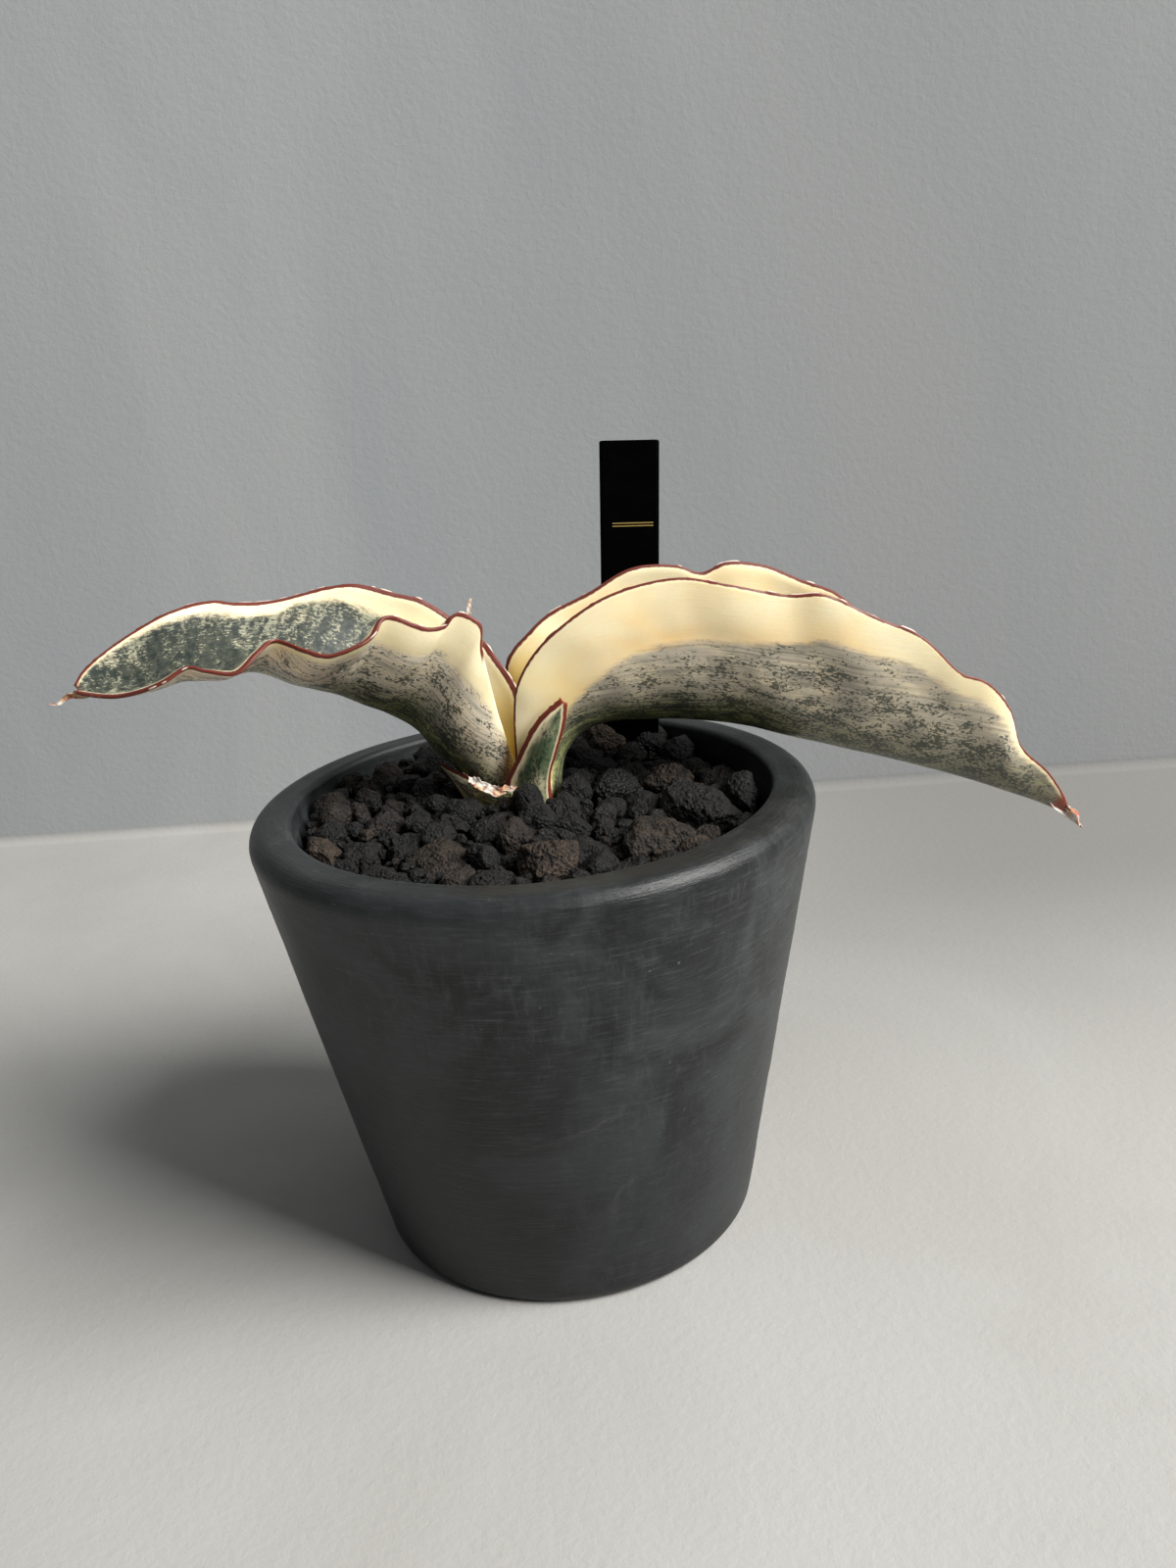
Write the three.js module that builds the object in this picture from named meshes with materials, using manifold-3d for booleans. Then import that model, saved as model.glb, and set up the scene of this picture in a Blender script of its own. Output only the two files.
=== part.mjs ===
// Potted snake plant: two arching, channelled leaves, a small sheathing leaf and a dry scale on one
// rhizome, in a tapered clay pot with potting mix, a dressing of lava stones and a plant label.
// Millimetres, +Z up. The origin is the centre of the pot's flat underside; -Y is the front.
import * as THREE from 'three';
import { mergeVertices } from 'three/addons/utils/BufferGeometryUtils.js';
import Module from 'manifold-3d';

const wasm = await Module();
wasm.setup();

// ---------------------------------------------------------------- driving dimensions (mm)

const GAP = 0.3;          // clearance left between pieces that rest on each other

const POT = {
  height: 100,
  rimRadius: 60,          // outside, at the shoulder
  footRadius: 43,         // outside, at the foot
  wallAtMouth: 9,
  floor: 8,
  wallAtFloor: 7,
  shoulder: 4,            // rounding of the outer top edge
  lip: 1.5,               // rounding of the inner top edge
  footRound: 3,
  floorRound: 4,
  sides: 64,
};
const DRAIN = { count: 4, radius: 5, ring: 22, sides: 16 };
const NET = { radius: 30, thickness: 1, pitch: 9, bar: 3 };
const GRAVEL = { depth: 14 };
const MIX = { freeboard: 10.5, mound: 1, sides: 48 };   // freeboard: rim down to the mix at the wall
const CROWN = { x: -3, y: 11, radiusX: 13.5, radiusY: 14, sides: 32 };
const RHIZOME = { x: -3, y: 12, depth: 11, radiusX: 12.5, radiusY: 8, radiusZ: 6 };
const ROOT = { radius: 1.6, sides: 6, steps: 9 };
const LABEL = {
  x: 25, y: 36, width: 13.6, thickness: 0.8, exposed: 72, buried: 27, point: 14, lean: 3.6,
};
const STONE = { clear: 0.6, waviness: 0.13, standOff: 3 };   // standOff: centre to crown or label

// ---------------------------------------------------------------- levels worked out from them

const mixAtWall = POT.height - MIX.freeboard;
const crownZ = mixAtWall + MIX.mound;
const gravelTop = POT.floor + NET.thickness + 2 * GAP + GRAVEL.depth;
const leafBase = crownZ;                              // leaf heights below are counted from here

const mouthRadius = POT.rimRadius - POT.wallAtMouth;

/** Radius of the pot's inner wall at height z. */
function innerRadius(z) {
  const atFloor = POT.footRadius + (POT.rimRadius - POT.footRadius) * (POT.floor / POT.height)
    - POT.wallAtFloor;
  const share = (z - POT.floor) / (POT.height - POT.floor);
  return atFloor + (mouthRadius - atFloor) * Math.min(1, Math.max(0, share));
}

/** Height of the potting mix at distance r from the axis: a low cone, highest on the axis. */
function mixHeight(r) {
  return crownZ - MIX.mound * (r / (innerRadius(mixAtWall) - GAP));
}

// ---------------------------------------------------------------- geometry helpers

/** Merge shared vertices, drop empty triangles and turn the faces outward. */
function weld(geometry) {
  const bare = geometry.clone();
  bare.deleteAttribute('normal');
  bare.deleteAttribute('uv');
  const merged = mergeVertices(bare, 1e-4);
  const position = merged.getAttribute('position');
  const source = merged.index.array;
  const kept = [];
  let volume = 0;
  const [a, b, c] = [new THREE.Vector3(), new THREE.Vector3(), new THREE.Vector3()];
  for (let i = 0; i < source.length; i += 3) {
    const [i0, i1, i2] = [source[i], source[i + 1], source[i + 2]];
    if (i0 === i1 || i1 === i2 || i2 === i0) continue;
    kept.push(i0, i1, i2);
    a.fromBufferAttribute(position, i0);
    b.fromBufferAttribute(position, i1);
    c.fromBufferAttribute(position, i2);
    volume += a.dot(b.cross(c)) / 6;
  }
  merged.setIndex(volume < 0 ? kept.reverse() : kept);
  return merged;
}

/** A closed three.js geometry as a manifold solid. */
function solid(geometry) {
  const welded = weld(geometry);
  return new wasm.Manifold(new wasm.Mesh({
    numProp: 3,
    vertProperties: new Float32Array(welded.getAttribute('position').array),
    triVerts: new Uint32Array(welded.index.array),
  }));
}

/** A manifold solid as a three.js geometry. */
function fromSolid(body) {
  const mesh = body.getMesh();
  const geometry = new THREE.BufferGeometry();
  geometry.setAttribute('position', new THREE.BufferAttribute(new Float32Array(mesh.vertProperties), 3));
  geometry.setIndex(new THREE.BufferAttribute(new Uint32Array(mesh.triVerts), 1));
  return geometry;
}

/** Quarter-round from one direction to another about a centre, as profile points. */
function arc(centre, radius, fromDeg, toDeg, steps) {
  const points = [];
  for (let i = 0; i <= steps; i += 1) {
    const t = THREE.MathUtils.degToRad(fromDeg + (toDeg - fromDeg) * (i / steps));
    points.push(new THREE.Vector2(centre[0] + radius * Math.cos(t), centre[1] + radius * Math.sin(t)));
  }
  return points;
}

/** Solid of revolution about Z from a profile of (radius, height) points. */
function turned(profile, sides) {
  return weld(new THREE.LatheGeometry(profile, sides).rotateX(Math.PI / 2));
}

/** Upright cylinder or ellipse prism from z0 to z1. */
function prism(x, y, radiusX, radiusY, z0, z1, sides) {
  return new THREE.CylinderGeometry(1, 1, z1 - z0, sides)
    .rotateX(Math.PI / 2)
    .scale(radiusX, radiusY, 1)
    .translate(x, y, (z0 + z1) / 2);
}

const finishes = {
  clay: { color: 0x35383a, roughness: 0.72, metalness: 0 },
  netPlastic: { color: 0x22252a, roughness: 0.6, metalness: 0 },
  pumice: { color: 0xb9b0a0, roughness: 0.95, metalness: 0 },
  pottingMix: { color: 0x2c2723, roughness: 0.98, metalness: 0 },
  root: { color: 0xc98f55, roughness: 0.8, metalness: 0 },
  leaf: { color: 0xb9b48c, roughness: 0.5, metalness: 0 },
  leafGreen: { color: 0x55614a, roughness: 0.5, metalness: 0 },
  dryLeaf: { color: 0xc9a588, roughness: 0.85, metalness: 0 },
  lava: { color: 0x2b2928, roughness: 0.95, metalness: 0 },
  labelPlastic: { color: 0x0b0b0c, roughness: 0.45, metalness: 0 },
};

const plant = new THREE.Group();
plant.name = 'potted_snake_plant';

/** Add one named piece. */
function add(name, geometry, finish) {
  geometry.computeVertexNormals();
  const mesh = new THREE.Mesh(geometry, new THREE.MeshStandardMaterial(finishes[finish]));
  mesh.name = name;
  plant.add(mesh);
}

// ---------------------------------------------------------------- pot, net and gravel

function pot() {
  const { height, rimRadius, footRadius, shoulder, lip, footRound, floor, floorRound } = POT;
  const inner = innerRadius(floor);
  const profile = [
    new THREE.Vector2(0, 0),
    ...arc([footRadius - footRound, footRound], footRound, -90, -8, 4),
    ...arc([rimRadius - shoulder, height - shoulder], shoulder, -8, 90, 6),
    ...arc([mouthRadius + lip, height - lip], lip, 90, 180, 3),
    ...arc([inner - floorRound + 0.6, floor + floorRound], floorRound, 0, -90, 3),
    new THREE.Vector2(0, floor),
  ];
  let body = solid(turned(profile, POT.sides));
  for (let i = 0; i < DRAIN.count; i += 1) {
    const angle = (2 * Math.PI * (i + 0.5)) / DRAIN.count;
    const x = DRAIN.ring * Math.cos(angle);
    const y = DRAIN.ring * Math.sin(angle);
    body = body.subtract(solid(prism(x, y, DRAIN.radius, DRAIN.radius, -1, floor + 1, DRAIN.sides)));
  }
  return fromSolid(body);
}

function drainageNet() {
  const bottom = POT.floor + GAP;
  const top = bottom + NET.thickness;
  let body = solid(prism(0, 0, NET.radius, NET.radius, bottom, top, 40));
  const reach = Math.floor(NET.radius / NET.pitch);
  const opening = NET.pitch - NET.bar;
  for (let i = -reach; i <= reach; i += 1) {
    for (let j = -reach; j <= reach; j += 1) {
      const [x, y] = [i * NET.pitch, j * NET.pitch];
      if (Math.hypot(x, y) + opening * 0.75 > NET.radius - NET.bar / 2) continue;
      const cell = new THREE.BoxGeometry(opening, opening, NET.thickness + 2)
        .translate(x, y, (bottom + top) / 2);
      body = body.subtract(solid(cell));
    }
  }
  return fromSolid(body);
}

function drainageGravel() {
  const bottom = POT.floor + NET.thickness + 2 * GAP;
  const clear = POT.floorRound;
  return turned([
    new THREE.Vector2(0, bottom),
    new THREE.Vector2(innerRadius(bottom) - clear, bottom),
    new THREE.Vector2(innerRadius(bottom + clear) - 2 * GAP, bottom + clear),
    new THREE.Vector2(innerRadius(gravelTop) - 2 * GAP, gravelTop),
    new THREE.Vector2(0, gravelTop),
  ], 40);
}

// ---------------------------------------------------------------- rhizome, roots and potting mix

const ROOT_RUNS = [       // where each root ends: direction in degrees, reach and drop below the rhizome
  { angle: 20, reach: 26, drop: 34 },
  { angle: 95, reach: 18, drop: 42 },
  { angle: 160, reach: 24, drop: 30 },
  { angle: 232, reach: 27, drop: 38 },
  { angle: 305, reach: 25, drop: 44 },
];
const rhizomeZ = crownZ - RHIZOME.depth;

/** One root, swollen by extra all round: out sideways from the rhizome, then down. */
function root(run, extra) {
  const a = THREE.MathUtils.degToRad(run.angle);
  const radius = ROOT.radius + extra;
  const at = (share, fall) => new THREE.Vector3(
    RHIZOME.x + run.reach * share * Math.cos(a),
    RHIZOME.y + run.reach * share * Math.sin(a),
    rhizomeZ - run.drop * fall - (fall === 1 ? extra : 0),
  );
  const path = new THREE.CatmullRomCurve3([at(0.15, 0.02), at(0.55, 0.14), at(0.85, 0.5), at(1, 1)]);
  const section = new THREE.Shape();
  for (let i = 0; i < ROOT.sides; i += 1) {
    const t = (2 * Math.PI * i) / ROOT.sides;
    if (i === 0) section.moveTo(radius * Math.cos(t), radius * Math.sin(t));
    else section.lineTo(radius * Math.cos(t), radius * Math.sin(t));
  }
  return new THREE.ExtrudeGeometry(section, { extrudePath: path, steps: ROOT.steps, bevelEnabled: false });
}

/** The rhizome with its roots, swollen by extra all round. */
function rhizomeSolid(extra) {
  const lump = new THREE.SphereGeometry(1, 18, 10)
    .scale(RHIZOME.radiusX + extra, RHIZOME.radiusY + extra, RHIZOME.radiusZ + extra)
    .translate(RHIZOME.x, RHIZOME.y, rhizomeZ);
  let body = solid(lump);
  for (const run of ROOT_RUNS) body = body.add(solid(root(run, extra)));
  return body;
}

/** The rhizome, cut flat where the leaf bases sit on it. */
function rhizome() {
  const above = new THREE.BoxGeometry(60, 60, 20)
    .translate(RHIZOME.x, RHIZOME.y, leafBase - LEAF_BURIED - GAP + 10);
  return fromSolid(rhizomeSolid(0).subtract(solid(above)));
}

function pottingMix() {
  const bottom = gravelTop + GAP;
  const wall = 2 * GAP;
  const profile = [
    new THREE.Vector2(0, bottom),
    new THREE.Vector2(innerRadius(bottom) - wall, bottom),
    new THREE.Vector2(innerRadius(mixAtWall) - wall, mixAtWall),
    new THREE.Vector2(0, crownZ),
  ];
  const neck = prism(CROWN.x, CROWN.y, CROWN.radiusX, CROWN.radiusY,
    leafBase - LEAF_BURIED - 2 * GAP, crownZ + 5, CROWN.sides);
  const body = solid(turned(profile, MIX.sides))
    .subtract(rhizomeSolid(2 * GAP))
    .subtract(solid(neck))
    .subtract(solid(plantLabel(GAP)));
  return fromSolid(body);
}

// ---------------------------------------------------------------- plant label

/** A flat stake with a pointed foot, swollen by extra all round. */
function plantLabel(extra = 0) {
  const half = LABEL.width / 2 + extra;
  const depth = -LABEL.buried - 2 * extra;
  const outline = new THREE.Shape();
  outline.moveTo(-half, LABEL.exposed + extra);
  outline.lineTo(-half, depth + LABEL.point);
  outline.lineTo(-1.5 - extra, depth);
  outline.lineTo(1.5 + extra, depth);
  outline.lineTo(half, depth + LABEL.point);
  outline.lineTo(half, LABEL.exposed + extra);
  const thickness = LABEL.thickness + 2 * extra;
  return weld(new THREE.ExtrudeGeometry(outline, { depth: thickness, bevelEnabled: false })
    .translate(0, 0, -thickness / 2)
    .rotateX(Math.PI / 2)
    .rotateY(THREE.MathUtils.degToRad(LABEL.lean))
    .translate(labelFoot.x, labelFoot.y, labelFoot.z));
}

/** Where the label's centre line meets the stones, kept inside the pot's wall. */
const labelFoot = (() => {
  const z = crownZ + 5;
  const corner = Math.hypot(LABEL.x + LABEL.width / 2, LABEL.y);
  const room = innerRadius(mixAtWall) - 2 * GAP - LABEL.thickness;
  const share = Math.min(1, room / corner);
  return { x: LABEL.x * share, y: LABEL.y * share, z };
})();

// ---------------------------------------------------------------- leaves

const LEAF_BURIED = 6;    // how far the leaf bases reach below the mix's crown

/** A smooth curve through points, resampled to equal steps along its length. */
function resample(points, count) {
  const curve = new THREE.CatmullRomCurve3(points.map((p) => new THREE.Vector3(...p)), false, 'centripetal');
  curve.arcLengthDivisions = 400;
  return curve.getSpacedPoints(count);
}

/** Straight-line interpolation in a list of [share, value] pairs. */
function blend(pairs, u) {
  let i = 1;
  while (i < pairs.length - 1 && pairs[i][0] < u) i += 1;
  const [u0, v0] = pairs[i - 1];
  const [u1, v1] = pairs[i];
  return v0 + ((v1 - v0) * (u - u0)) / (u1 - u0);
}

/**
 * Outer face of a channelled leaf as rows of points. Each row runs from the front margin round the
 * keel to the rear margin; each half is a cubic curve that leaves the keel sideways by `floor` and
 * bellies outward by `belly` on its way up to the margin.
 */
function leafFace(spec) {
  const { rows, columns } = spec;
  const keel = resample(spec.keel, rows);
  const front = resample(spec.front, rows);
  const rear = resample(spec.rear, rows);
  return keel.map((k, i) => {
    const u = i / rows;
    const along = keel[Math.min(i + 1, rows)].clone().sub(keel[Math.max(i - 1, 0)]).normalize();
    const side = front[i].clone().sub(rear[i]);
    side.addScaledVector(along, -side.dot(along)).normalize();
    const floor = blend(spec.floor, u);
    const belly = blend(spec.belly, u);
    const half = (margin, sign, t) => {
      const near = k.clone().addScaledVector(side, sign * floor);
      const far = margin.clone().multiplyScalar(0.55).addScaledVector(near, 0.45)
        .addScaledVector(side, sign * belly);
      return new THREE.CubicBezierCurve3(k, near, far, margin).getPoint(t);
    };
    const row = [];
    for (let j = 0; j <= columns; j += 1) {
      const v = (2 * j) / columns - 1;
      row.push(v < 0 ? half(front[i], 1, -v) : half(rear[i], -1, v));
    }
    return row;
  });
}

/** Closed solid between a face and the same face moved in by a thickness that thins to the margins. */
function leafSolid(spec) {
  const outer = leafFace(spec);
  const [rows, columns] = [spec.rows, spec.columns];
  const inner = outer.map((row, i) => row.map((p, j) => {
    const u = i / rows;
    const v = (2 * j) / columns - 1;
    const du = outer[Math.min(i + 1, rows)][j].clone().sub(outer[Math.max(i - 1, 0)][j]);
    const dv = row[Math.min(j + 1, columns)].clone().sub(row[Math.max(j - 1, 0)]);
    const normal = du.cross(dv).normalize().multiplyScalar(spec.facing);
    const thick = spec.margin + (blend(spec.keelThickness, u) - spec.margin) * (1 - Math.abs(v) ** 1.5);
    return p.clone().addScaledVector(normal, thick);
  }));
  const vertices = [];
  const index = [];
  const wide = columns + 1;
  for (const grid of [outer, inner]) {
    for (const row of grid) for (const p of row) vertices.push(p.x, p.y, p.z + leafBase);
  }
  const at = (face, i, j) => face * (rows + 1) * wide + i * wide + j;
  const quad = (a, b, c, d) => index.push(a, b, c, a, c, d);
  for (let i = 0; i < rows; i += 1) {
    for (let j = 0; j < columns; j += 1) {
      quad(at(0, i, j), at(0, i + 1, j), at(0, i + 1, j + 1), at(0, i, j + 1));
      quad(at(1, i, j), at(1, i, j + 1), at(1, i + 1, j + 1), at(1, i + 1, j));
    }
    quad(at(0, i, 0), at(1, i, 0), at(1, i + 1, 0), at(0, i + 1, 0));
    quad(at(0, i, columns), at(0, i + 1, columns), at(1, i + 1, columns), at(1, i, columns));
  }
  for (let j = 0; j < columns; j += 1) {
    quad(at(0, 0, j), at(0, 0, j + 1), at(1, 0, j + 1), at(1, 0, j));
    quad(at(0, rows, j), at(1, rows, j), at(1, rows, j + 1), at(0, rows, j + 1));
  }
  const geometry = new THREE.BufferGeometry();
  geometry.setAttribute('position', new THREE.Float32BufferAttribute(vertices, 3));
  geometry.setIndex(index);
  return weld(geometry);
}

// Leaf points are x, y and height above the crown of the mix.
const RIGHT_LEAF = {
  rows: 38, columns: 12, facing: 1, margin: 1,
  keel: [
    [6.5, 12, -6], [7, 12, 6.5], [8.5, 12, 13], [12.5, 12, 17.5], [18, 12, 19.1], [27, 12, 18.7],
    [44, 11, 16.5], [67.5, 9, 9.3], [89.3, 6, 2.4], [105, 3, -3.4], [114.5, 1.6, -7.6], [117.8, 0.7, -9.4],
  ],
  front: [
    [-3, 4.5, -6], [-3.1, 3, 8.5], [-2.8, 2, 15.7], [-2.2, 1, 25.9], [-1, 0, 31.9], [3.2, -0.5, 38.5],
    [9.8, -1, 44.1], [19.4, -1, 49.2], [33.6, -1, 51.5], [43.4, -2, 49.5], [56.9, -2, 45.9],
    [63.6, -3, 45.6], [74.1, -4, 40.1], [83.5, -5, 35.3], [92.3, -5, 26.5], [97.4, -5, 24.3],
    [103.1, -4, 17.5], [106.3, -3, 8.5], [112.9, -2, 1.6], [117.4, -1, -5.4], [118.6, 0, -8.6],
  ],
  rear: [
    [-3, 21, -6], [-3, 22, 8.5], [-3.4, 22, 19.5], [-2.8, 20.5, 32.4], [2.9, 21, 38.7], [7.6, 22, 42.1],
    [16.7, 22, 45.9], [26.9, 22, 50.6], [36.7, 22, 50.2], [42.1, 22, 48.1], [47.7, 22, 49.8],
    [56.5, 22, 48.4], [64.7, 20, 44.6], [71.3, 18, 41.8], [76.3, 15.5, 37.3], [84, 13.5, 31.5],
    [92, 11.5, 24.5], [99, 10, 17], [106.5, 7.5, 7], [113, 4.5, -1], [118.4, 1.8, -8.2],
  ],
  floor: [[0, 6], [0.1, 7], [0.3, 9], [0.6, 8], [0.85, 5], [1, 0.8]],
  belly: [[0, 1.5], [0.15, 2.5], [0.4, 4], [0.7, 3], [1, 0.3]],
  keelThickness: [[0, 4.5], [0.25, 4], [0.6, 3.2], [0.85, 2], [1, 0.9]],
};

const LEFT_LEAF = {
  rows: 34, columns: 12, facing: -1, margin: 1,
  keel: [
    [-12.5, 12, -6], [-13.2, 11.5, 7.5], [-16, 11, 12.5], [-19.8, 10, 16.5], [-23.9, 10, 22.1],
    [-35.4, 8, 30], [-48.2, 6, 36.9], [-55.3, 5, 39.7], [-67.9, 2, 40.6], [-82.1, 0, 39.2],
    [-89.6, -1, 39.4],
  ],
  front: [
    [-2, 8, -6], [-2.2, 7.5, 9.5], [-3.9, 4, 17.3], [-5.8, -1, 29.1], [-7.2, -3.5, 41.3],
    [-6.9, -4, 46.3], [-11.3, -5, 49.2], [-13.6, -6, 47.2], [-17.5, -7, 47.2], [-24.8, -9, 50.5],
    [-27.4, -12, 47.6], [-30, -14, 46.4], [-36.2, -15, 44.9], [-40.8, -14, 46.4], [-47, -10, 48.1],
    [-49.4, -14, 46.7], [-53.7, -17, 43.6], [-60.3, -15, 44.3], [-63.7, -13, 44.9], [-68.8, -14, 42.5],
    [-78.7, -10, 39.5], [-87, -4.5, 39.3], [-90.4, -1.8, 39.6],
  ],
  rear: [
    [-2, 16, -6], [-1.2, 16.3, 9.5], [-0.6, 16, 19.5], [-1.2, 16, 26.9], [-5.6, 18, 35.5],
    [-7.9, 20, 38.2], [-13.7, 22, 43], [-19.9, 22, 47.7], [-26.3, 22, 49.9], [-33.9, 22, 52.5],
    [-39.9, 22, 52.4], [-52.2, 20, 50.7], [-59.5, 18, 51.3], [-64.2, 18, 52.2], [-72.6, 15, 51.2],
    [-82.6, 10, 47.1], [-89.2, 3.5, 42.8], [-90.6, 0.3, 40.6],
  ],
  floor: [[0, 5], [0.12, 6], [0.35, 8], [0.6, 9], [0.85, 6], [1, 0.8]],
  belly: [[0, 2.5], [0.15, 3.5], [0.3, 5], [0.45, 3], [0.7, 1], [1, 0]],
  keelThickness: [[0, 4.5], [0.25, 4], [0.6, 3], [0.85, 1.8], [1, 0.8]],
};

const FRONT_LEAF = {
  rows: 14, columns: 6, facing: 1, margin: 0.7,
  keel: [[0.8, -0.8, -6], [0.4, -1.4, 7], [2, -2.4, 14], [5.2, -2.8, 21.5], [8.5, -2, 28]],
  front: [[-4.6, 1.6, -6], [-5.9, 0.8, 9], [-2.4, -0.2, 16.3], [2.6, -1.6, 24.6], [7.9, -2.4, 28.9]],
  rear: [[5.4, 0.8, -6], [4.2, 0.2, 11], [6, -0.5, 16.5], [8.2, -1, 22.5], [9.2, -1.6, 27.6]],
  floor: [[0, 1.6], [0.5, 1.6], [1, 0.2]],
  belly: [[0, 0.2], [1, 0]],
  keelThickness: [[0, 1.2], [0.7, 1], [1, 0.7]],
};

const DRY_SCALE = {
  rows: 12, columns: 4, facing: -1, margin: 0.5,
  keel: [[-4.5, -1.4, 6.5], [-8.5, 0, 6.3], [-12.5, 3.2, 7.6], [-16.6, 6, 11.1], [-19.2, 7.4, 13.6]],
  front: [[-4.2, -1.2, 10.2], [-8.3, 0.4, 10.2], [-12.7, 3.6, 11.4], [-16.4, 5.8, 13], [-19.4, 7.2, 14.6]],
  rear: [[-4.8, -0.8, 1], [-8.8, 1, 1], [-13, 4, 2.6], [-16.9, 7.4, 9.4], [-19.1, 8.6, 12.8]],
  floor: [[0, 0.8], [1, 0.3]],
  belly: [[0, 0.3], [1, 0]],
  keelThickness: [[0, 0.8], [1, 0.6]],
};

// ---------------------------------------------------------------- lava stones

// Each stone: x and y as shares of the bed's radius, then width, depth, height (mm) and turn (degrees).
const STONES = [
  [-0.96, 0, 9, 9, 7.5, 0],
  [-0.73, -0.31, 11, 10, 8.5, 20],
  [-0.64, -0.05, 12.5, 11, 9, 70],
  [-0.53, -0.33, 9, 7.5, 6, 0],
  [-0.38, -0.45, 24, 11, 7.5, -42],
  [-0.2, -0.24, 14, 12.5, 10, 30],
  [-0.6, 0.28, 10, 10, 8, 10],
  [-0.5, 0.46, 10, 9, 7, 40],
  [-0.43, -0.05, 10, 9, 6, 15],
  [-0.43, 0.15, 10, 10, 8, 60],
  [-0.57, -0.62, 9, 7.5, 6, 0],
  [-0.19, -0.72, 10, 7.5, 6, 10],
  [0.03, -0.57, 16, 12.5, 8, 5],
  [0.3, -0.76, 11, 9, 6, 30],
  [0.5, -0.45, 22.5, 12.5, 9, 48],
  [0.72, -0.17, 17.5, 15, 11, 20],
  [0.38, 0.17, 10, 10, 10, 80],
  [0.46, -0.09, 10, 9, 7, 0],
  [0.64, 0.27, 16, 11, 8, 10],
  [0.3, 0.88, 16, 10, 8, 0],
  [0.66, 0.56, 14, 10, 6, 20],
  [0.86, 0.3, 10, 9, 6, 30],
  [0.9, -0.06, 10, 12.5, 10, 0],
  [0.14, -0.27, 11, 10, 9, 45],
  [0.29, -0.32, 7.5, 7.5, 6, 0],
  [-0.75, -0.55, 7.5, 7.5, 5, 0],
  [-0.02, -0.88, 11, 7.5, 5, 0],
  [-0.4, -0.83, 10, 7.5, 5, -20],
  [0.62, -0.72, 9, 7.5, 5, 40],
  [0.88, -0.36, 7.5, 7.5, 6, 0],
  [-0.14, 0.85, 10.5, 9, 8, 20],
  [-0.39, 0.78, 11.5, 9, 8, 75],
  [-0.6, 0.65, 9.5, 8.5, 8, 140],
  [-0.75, 0.47, 11, 9.5, 8, 50],
  [-0.83, 0.22, 11, 9, 8, 110],
  [0.26, 0.62, 11, 9, 8, 10],
  [-0.25, 0.62, 10, 9, 8, 160],
];

/** Repeatable numbers from 0 to 1. */
function sequence(seed) {
  let state = seed;
  return () => {
    state = (state * 16807) % 2147483647;
    return state / 2147483647;
  };
}

/** Nearest point of the label's foot line to a place on the bed. */
function nearestOnLabel(x, y) {
  const half = LABEL.width / 2;
  const nearX = Math.min(Math.max(x, labelFoot.x - half), labelFoot.x + half);
  return [nearX, labelFoot.y];
}

/** A stone's place moved, if need be, out of the crown and away from the label. */
function clearPlace(x, y) {
  const [dx, dy] = [x - CROWN.x, y - CROWN.y];
  const least = 1 + STONE.standOff / Math.min(CROWN.radiusX, CROWN.radiusY);
  const grow = Math.max(1, least / Math.hypot(dx / CROWN.radiusX, dy / CROWN.radiusY));
  const place = [CROWN.x + dx * grow, CROWN.y + dy * grow];
  const [lx, ly] = nearestOnLabel(...place);
  const gap = Math.hypot(place[0] - lx, place[1] - ly);
  if (gap < STONE.standOff) place[1] = ly + Math.sign(place[1] - ly || -1) * STONE.standOff;
  return place;
}

/** Every stone's place and size. */
function stoneSpots() {
  const bed = innerRadius(mixAtWall);
  return STONES.map(([px, py, width, depth, height, turn]) => {
    const [x, y] = clearPlace(px * bed, py * bed);
    const z = mixHeight(Math.hypot(x, y)) + GAP + 0.4 * height;
    return { x, y, z, width, depth, height, turn, centre: new THREE.Vector3(x, y, z) };
  });
}

/** Flat walls that keep a stone off its neighbours, the mix, the crown and the label. */
function cellWalls(spot, spots) {
  const walls = [];
  const size = (s) => (s.width + s.depth) / 4;
  for (const other of spots) {
    if (other === spot) continue;
    const toward = other.centre.clone().sub(spot.centre);
    const distance = toward.length();
    if (distance > (spot.width + other.width)) continue;
    const share = (distance ** 2 + size(spot) ** 2 - size(other) ** 2) / (2 * distance);
    walls.push({ normal: toward.divideScalar(distance), reach: share - GAP / 2 });
  }
  const slope = MIX.mound / innerRadius(mixAtWall);
  const r = Math.max(1e-6, Math.hypot(spot.x, spot.y));
  const down = new THREE.Vector3((-spot.x / r) * slope, (-spot.y / r) * slope, -1).normalize();
  walls.push({ normal: down, reach: 0.38 * spot.height });
  const angle = Math.atan2((spot.y - CROWN.y) / CROWN.radiusY, (spot.x - CROWN.x) / CROWN.radiusX);
  const edge = new THREE.Vector3(CROWN.x + CROWN.radiusX * Math.cos(angle),
    CROWN.y + CROWN.radiusY * Math.sin(angle), 0);
  const inward = new THREE.Vector3(-Math.cos(angle) / CROWN.radiusX, -Math.sin(angle) / CROWN.radiusY, 0)
    .normalize();
  walls.push({ normal: inward, reach: edge.sub(spot.centre).dot(inward) });
  const [lx, ly] = nearestOnLabel(spot.x, spot.y);
  const toLabel = new THREE.Vector3(lx - spot.x, ly - spot.y, 0);
  const gap = toLabel.length();
  walls.push({ normal: toLabel.divideScalar(gap), reach: gap - LABEL.thickness / 2 - STONE.clear });
  return walls;
}

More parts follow.
